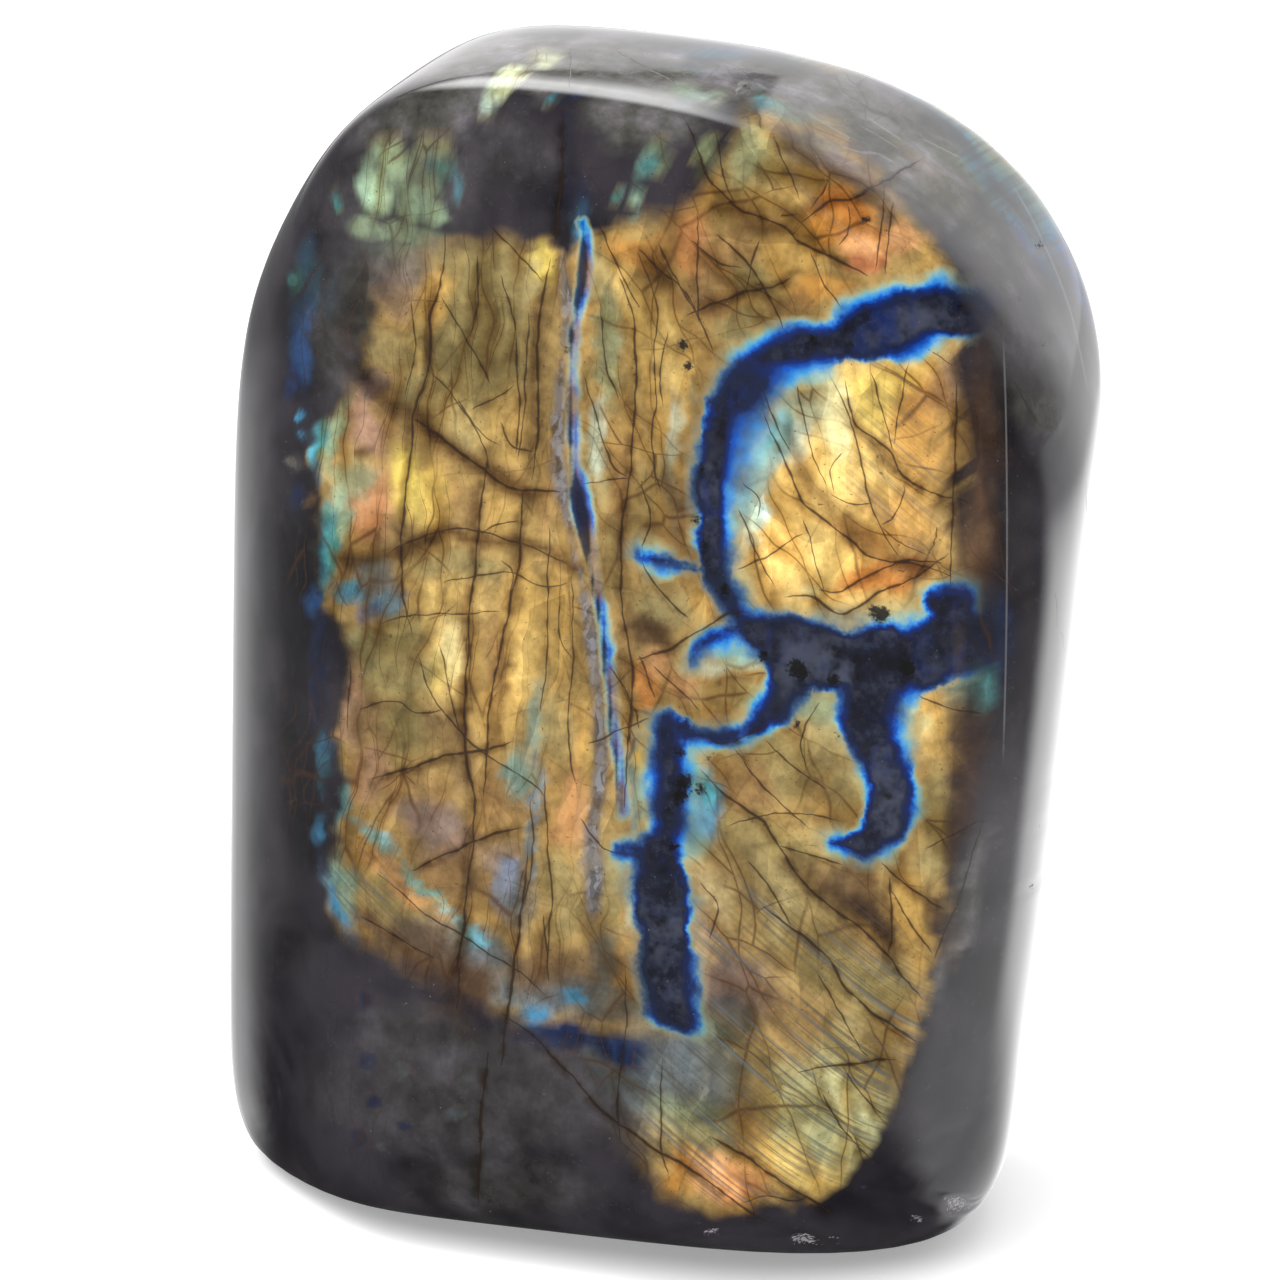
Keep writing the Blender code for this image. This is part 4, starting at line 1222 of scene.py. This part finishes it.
def veinColour(tree, grain, colour, stray, wobble):
    # the grey vein, broken rock with dark gaps, and its blue line
    rag = times(tree, stray, 0.6)
    rock = addNode(tree, "ShaderNodeTexVoronoi", feature="F1")
    bent = vectorCalc(tree, "ADD", grain, scaled(tree, wobble["Color"], 2.0))
    feedAll(tree, rock, Vector=stretched(tree, bent, 4, (0.8, 3, 2.4)), Scale=1.0)
    grey = blend(tree, rock.outputs["Color"], *stoneFinish["vein"])
    gaps = remap(tree, noise(tree, grain, 0.55, 3.0, 0.65), 0.50, 0.62, 0.0, 0.65)
    grey = blend(tree, gaps, grey, stoneFinish["vein gap"])
    veinPlace = calc(tree, "ADD", surfaceValue(tree, "vein"), rag)
    colour = blend(tree, remap(tree, veinPlace, -6.0, 5.5, 0.82, 0.0), colour, grey)
    vivid = remap(tree, noise(tree, grain, 0.12, 1.0), 0.40, 0.60, 0.15, 0.95)
    glowPlace = calc(tree, "ADD", surfaceValue(tree, "blueGlow"), rag)
    blue, cover = rampNode(tree, remap(tree, glowPlace, -3.0, 9.0, smooth=False), stoneFinish["blue line"])
    colour = blend(tree, times(tree, cover, vivid), colour, blue)
    corePlace = calc(tree, "ADD", surfaceValue(tree, "blueLine"), times(tree, rag, 0.6))
    return blend(tree, remap(tree, corePlace, -2.0, 2.5, 0.88, 0.0), colour, stoneFinish["blue line core"])


def crackLines(tree, grain, colour, wobble):
    # drawn cracks, with a brown shade along one side
    sway = swing(tree, noise(tree, grain, 0.22, 2.0, 0.6), 0.5, 9.0)
    thick = remap(tree, wobble["Fac"], 0.35, 0.65, 0.45, 1.25)
    lines, halos = (0.0, 0.0, 0.0), (0.0, 0.0, 0.0)
    for group in range(math.ceil(len(crackFamilies) / 3)):
        distance = vectorCalc(tree, "ADD", surfaceValue(tree, "crackGap%d" % group, "Vector"), sway)
        width = vectorCalc(tree, "MULTIPLY", surfaceValue(tree, "crackWide%d" % group, "Vector"), thick)
        edge = vectorCalc(tree, "ADD", scaled(tree, width, 1.15), (0.55, 0.55, 0.55))
        inside = remapThree(tree, vectorCalc(tree, "ABSOLUTE", distance), 0.0, edge, 1.0, 0.0)
        part = vectorCalc(tree, "MULTIPLY", inside, remapThree(tree, width, 0.0, 0.35))
        lines = vectorCalc(tree, "MAXIMUM", part, lines)
        spread = vectorCalc(tree, "MAXIMUM", distance, scaled(tree, distance, -2.0))
        shade = vectorCalc(tree, "MULTIPLY", remapThree(tree, spread, 0.0, 12.0, 0.62, 0.0),
                           remapThree(tree, width, 0.2, 1.4))
        halos = vectorCalc(tree, "MAXIMUM", shade, halos)
    line, halo = greatest(tree, lines), greatest(tree, halos)
    colour = blend(tree, halo, colour, dyed(tree, colour, stoneFinish["dyes"]["crack side"]))
    return blend(tree, times(tree, line, 0.88), colour, stoneFinish["crack dark"]), line


def wearColour(tree, grain, colour):
    # black pits, pale scratches and painted highlight lines, ground chips, and how worn the polish is there
    crumb = noise(tree, grain, 2.6, 2.0, 0.7)
    pitPlace = calc(tree, "ADD", surfaceValue(tree, "pit"), swing(tree, crumb, 0.45, 14.0))
    colour = blend(tree, remap(tree, pitPlace, -2.0, 2.5, 0.92, 0.0), colour, stoneFinish["pit"])
    # pale lines: worn scratches and painted highlights
    scratchAndHighlight = remap(tree, calc(tree, "ABSOLUTE", surfaceValue(tree, "pale")), 0.3, 1.4, 0.24, 0.0)
    scratchAndHighlight = times(tree, scratchAndHighlight, remap(tree, surfaceValue(tree, "scratchAndHighlightWidth"), 0.0, 0.6))
    colour = blend(tree, scratchAndHighlight, colour, stoneFinish["scratchAndHighlight"])
    chip = calc(tree, "ADD", surfaceValue(tree, "chip"), swing(tree, crumb, 0.56, 3.6))
    chipped = remap(tree, chip, 0.55, 1.1)
    colour = blend(tree, times(tree, chipped, 0.8), colour, stoneFinish["chip"])
    return colour, larger(tree, chipped, remap(tree, pitPlace, -1.0, 2.0, 1.0, 0.0))


def polishedLabradorite():
    material, tree = emptyMaterial("polishedLabradorite")
    grain = scaled(tree, addNode(tree, "ShaderNodeTexCoord").outputs["Object"], 1000.0)       # millimetres
    parts = split(tree, grain)
    speck = noise(tree, grain, 0.9, 3.0, 0.6)
    wobble = noiseNode(tree, grain, 0.5, 1.0)

    flash, lines = flashColour(tree, grain, parts["X"])
    flash = combFlash(tree, grain, flash)
    behind = remap(tree, parts["Y"], -12.0, 8.0)
    body = bodyColour(tree, grain, behind, lines, speck)
    colour = blend(tree, surfaceValue(tree, "flash"), body, flash)
    colour, stray = bandColour(tree, grain, colour)
    colour = veinColour(tree, grain, colour, stray, wobble)
    colour, cracked = crackLines(tree, grain, colour, wobble)
    colour, worn = wearColour(tree, grain, colour)

    rough = remap(tree, speck, 0.3, 0.8, *stoneFinish["roughness"])
    worn = times(tree, larger(tree, worn, times(tree, cracked, 0.5)), stoneFinish["worn roughness"])
    swell = noise(tree, grain, 0.10, 1.0, 0.5)
    scuff = noise(tree, grain, 0.6, 1.0, 0.5)
    relief = calc(tree, "MULTIPLY_ADD", scuff, 0.012, times(tree, swell, 0.5))
    bump = addNode(tree, "ShaderNodeBump")
    strength, depth = stoneFinish["relief"]
    feedAll(tree, bump, Strength=strength, Distance=depth, Height=relief)
    shader = addNode(tree, "ShaderNodeBsdfPrincipled")
    shader.inputs["IOR"].default_value = stoneFinish["refraction"]
    feedAll(tree, shader, Base_Color=colour, Roughness=larger(tree, rough, worn),
            Normal=bump.outputs["Normal"])
    feedAll(tree, addNode(tree, "ShaderNodeOutputMaterial"), Surface=shader.outputs["BSDF"])
    return material


# Studio: pale floor, white surround, soft boxes
studio = {
    "floorHalf": 3.0,
    "floorGlow": 0.30,
    "skyLight": 0.80,               # even light on everything that isn't a mirror image
    "white": (1.0, 0.99, 1.0, 1.0),
    "brightWay": (195, 15),          # where the surround that the polish mirrors is brightest
    "surround": (0.08, 0.42, 1.45),  # its brightness in front, at the sides and there
    "middle": (0.0, 0.0, stoneForm["middle height"]),
    "wash": {"azimuth": 8, "elevation": 52, "distance": 1.0, "size": (0.8, 0.8), "power": 9.0},
    "key": {"azimuth": -70, "elevation": 58, "distance": 0.9, "size": (0.5, 0.5), "power": 3.0},
}

# what the polish mirrors of the floor: brightness on each side of the stone
floorShine = {
    "near": 0.04, "front": 0.20,                 # before it
    "left": 1.25, "left corner": (-0.049, -0.015), "left dark": (246.0, 262.0),
    "side": 1.40, "right": 4.2, "right corner": (0.053, -0.018), "right bright": (114.0, 134.0),
    "cells": 260, "crowding": 3.2, "height": 0.001,
}

# a soft bright card behind the top edge
topCard = {"azimuth": 214, "elevation": 50, "distance": 0.9, "size": (0.62, 0.48), "bright": 5.5, "cells": 30}


def addSoftBox(name, azimuth, elevation, distance, size, power):
    data = bpy.data.lights.new(name, "AREA")
    data.shape = "RECTANGLE"
    data.size, data.size_y = size
    data.energy = power
    light = addObject(name, data)
    standBack(light, studio["middle"], facing(azimuth, elevation), distance)
    light.visible_camera = False
    light.visible_glossy = False


def addFloor():
    half = studio["floorHalf"]
    mesh = bpy.data.meshes.new("floor")
    corners = [(-half, -half, 0.0), (half, -half, 0.0), (half, half, 0.0), (-half, half, 0.0)]
    mesh.from_pydata(corners, [], [(0, 1, 2, 3)])
    material = bpy.data.materials.new("paleFloor")
    material.use_nodes = True
    shader = material.node_tree.nodes["Principled BSDF"]
    shader.inputs["Base Color"].default_value = (0.9, 0.9, 0.9, 1.0)
    shader.inputs["Roughness"].default_value = 0.9
    shader.inputs["Specular IOR Level"].default_value = 0.1
    shader.inputs["Emission Color"].default_value = (1.0, 1.0, 1.0, 1.0)
    shader.inputs["Emission Strength"].default_value = studio["floorGlow"]
    mesh.materials.append(material)
    floor = addObject("floor", mesh)


def floorBrightness(x, y):
    # towards the left the floor shines beyond an angle, towards the right it is nearly white
    def wayTo(corner):
        way = np.degrees(np.arctan2(x - corner[0], corner[1] - y)) % 360.0
        return way, np.hypot(x - corner[0], y - corner[1])

    leftWay, leftFar = wayTo(floorShine["left corner"])
    rightWay, rightFar = wayTo(floorShine["right corner"])
    outward = smoothStep(np.minimum(leftFar, rightFar), 0.03, 0.25)
    level = floorShine["near"] + (floorShine["front"] - floorShine["near"]) * outward
    onLeft = smoothStep(leftWay, 180.0, 200.0) * (1.0 - smoothStep(leftWay, *floorShine["left dark"]))
    onLeft *= smoothStep(leftFar, 0.002, 0.022)
    level += onLeft * (floorShine["left"] * (1.0 - 0.8 * smoothStep(leftFar, 0.30, 0.75)) - level)
    before = 1.0 - smoothStep(rightWay, 200.0, 215.0)
    side = floorShine["side"] * (1.0 - 0.65 * smoothStep(rightFar, 0.09, 0.22))
    side *= 1.0 - 0.7 * smoothStep(rightFar, 0.2, 0.4)
    level += smoothStep(rightWay, 15.0, 70.0) * before * (side - level)
    white = floorShine["right"] * (0.25 + 0.75 * smoothStep(rightFar, 0.025, 0.085))
    white *= 1.0 - 0.75 * smoothStep(rightFar, 0.28, 0.65)
    return level + smoothStep(rightWay, *floorShine["right bright"]) * before * (white - level)


def addReflector(name, count, points, shine):
    # a sheet of count by count points that only the polish sees
    starts = [row * count + column for row in range(count - 1) for column in range(count - 1)]
    faces = [(start, start + 1, start + count + 1, start + count) for start in starts]
    mesh = bpy.data.meshes.new(name)
    mesh.from_pydata([tuple(point) for point in points], [], faces)
    keepMark(mesh, "shine", shine)
    material, tree = emptyMaterial(name)
    glow = addNode(tree, "ShaderNodeEmission")
    tree.links.new(surfaceValue(tree, "shine"), glow.inputs["Strength"])
    feedAll(tree, addNode(tree, "ShaderNodeOutputMaterial"), Surface=glow.outputs["Emission"])
    material.cycles.emission_sampling = "NONE"       # only mirrored, never a lamp
    mesh.materials.append(material)
    card = addObject(name, mesh)
    card.visible_camera = False
    card.visible_shadow = False
    card.visible_diffuse = False
    card.visible_transmission = False


def grid(steps):
    return [axis.ravel() for axis in np.meshgrid(steps, steps)]


def addReflectors():
    # the floor as the polish sees it, closely divided near the stone
    count = floorShine["cells"]
    steps = np.linspace(-1.0, 1.0, count)
    x, y = grid(studio["floorHalf"] * np.sign(steps) * np.abs(steps) ** floorShine["crowding"])
    points = np.stack([x, y, np.full(len(x), floorShine["height"])], axis=1)
    addReflector("mirroredFloor", count, points, floorBrightness(x, y))

    away = facing(topCard["azimuth"], topCard["elevation"])
    sideways = Vector((-away.y, away.x, 0.0)).normalized()
    upward = away.cross(sideways)
    u, v = grid(np.linspace(-1.0, 1.0, topCard["cells"]))
    wide, high = topCard["size"]
    centre = np.array(studio["middle"]) + np.array(away) * topCard["distance"]
    points = centre + u[:, None] * np.array(sideways) * 0.5 * wide
    points += v[:, None] * np.array(upward) * 0.5 * high
    fade = (1.0 - smoothStep(np.abs(u), 0.35, 1.0)) * (1.0 - smoothStep(np.abs(v), 0.2, 1.0))
    addReflector("topCard", topCard["cells"], points, topCard["bright"] * fade)


def addSurround():
    # white to the camera, even light on the stone, and shaped light in what it mirrors
    world = bpy.data.worlds.new("surround")
    bpy.context.scene.world = world
    world.use_nodes = True
    tree = world.node_tree
    tree.nodes.clear()

    def background(strength):
        node = addNode(tree, "ShaderNodeBackground")
        feedAll(tree, node, Color=studio["white"], Strength=strength)
        return node.outputs["Background"]

    def either(switch, first, second):
        node = addNode(tree, "ShaderNodeMixShader")
        for socket, value in zip(node.inputs, (switch, first, second)):
            tree.links.new(value, socket)
        return node.outputs["Shader"]

    way = addNode(tree, "ShaderNodeTexCoord").outputs["Generated"]
    parts = split(tree, way)
    toward = vectorCalc(tree, "DOT_PRODUCT", way, facing(*studio["brightWay"]))
    front, sides, bright = studio["surround"]
    level = calc(tree, "ADD", remap(tree, toward, -0.1, 0.3, front, sides),
                 remap(tree, toward, 0.62, 0.88, 0.0, bright - sides))
    level = times(tree, level, remap(tree, parts["Z"], 0.55, 0.80, 1.0, 0.15),
                  remap(tree, parts["X"], -0.80, -0.52, 0.4, 1.0))
    ray = addNode(tree, "ShaderNodeLightPath").outputs
    seen = either(ray["Is Glossy Ray"], background(studio["skyLight"]), background(level))
    seen = either(ray["Is Camera Ray"], seen, background(1.0))
    feedAll(tree, addNode(tree, "ShaderNodeOutputWorld"), Surface=seen)


def addStudio():
    addFloor()
    for name in ("wash", "key"):
        addSoftBox(name, **studio[name])
    addReflectors()
    addSurround()
    bpy.context.scene.view_settings.view_transform = "Standard"
    bpy.context.scene.view_settings.look = "None"
    print("studio lit")


stone = makeStone(polishedLabradorite())
markStone(stone)
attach(stone, "root")
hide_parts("stone")
addStudio()
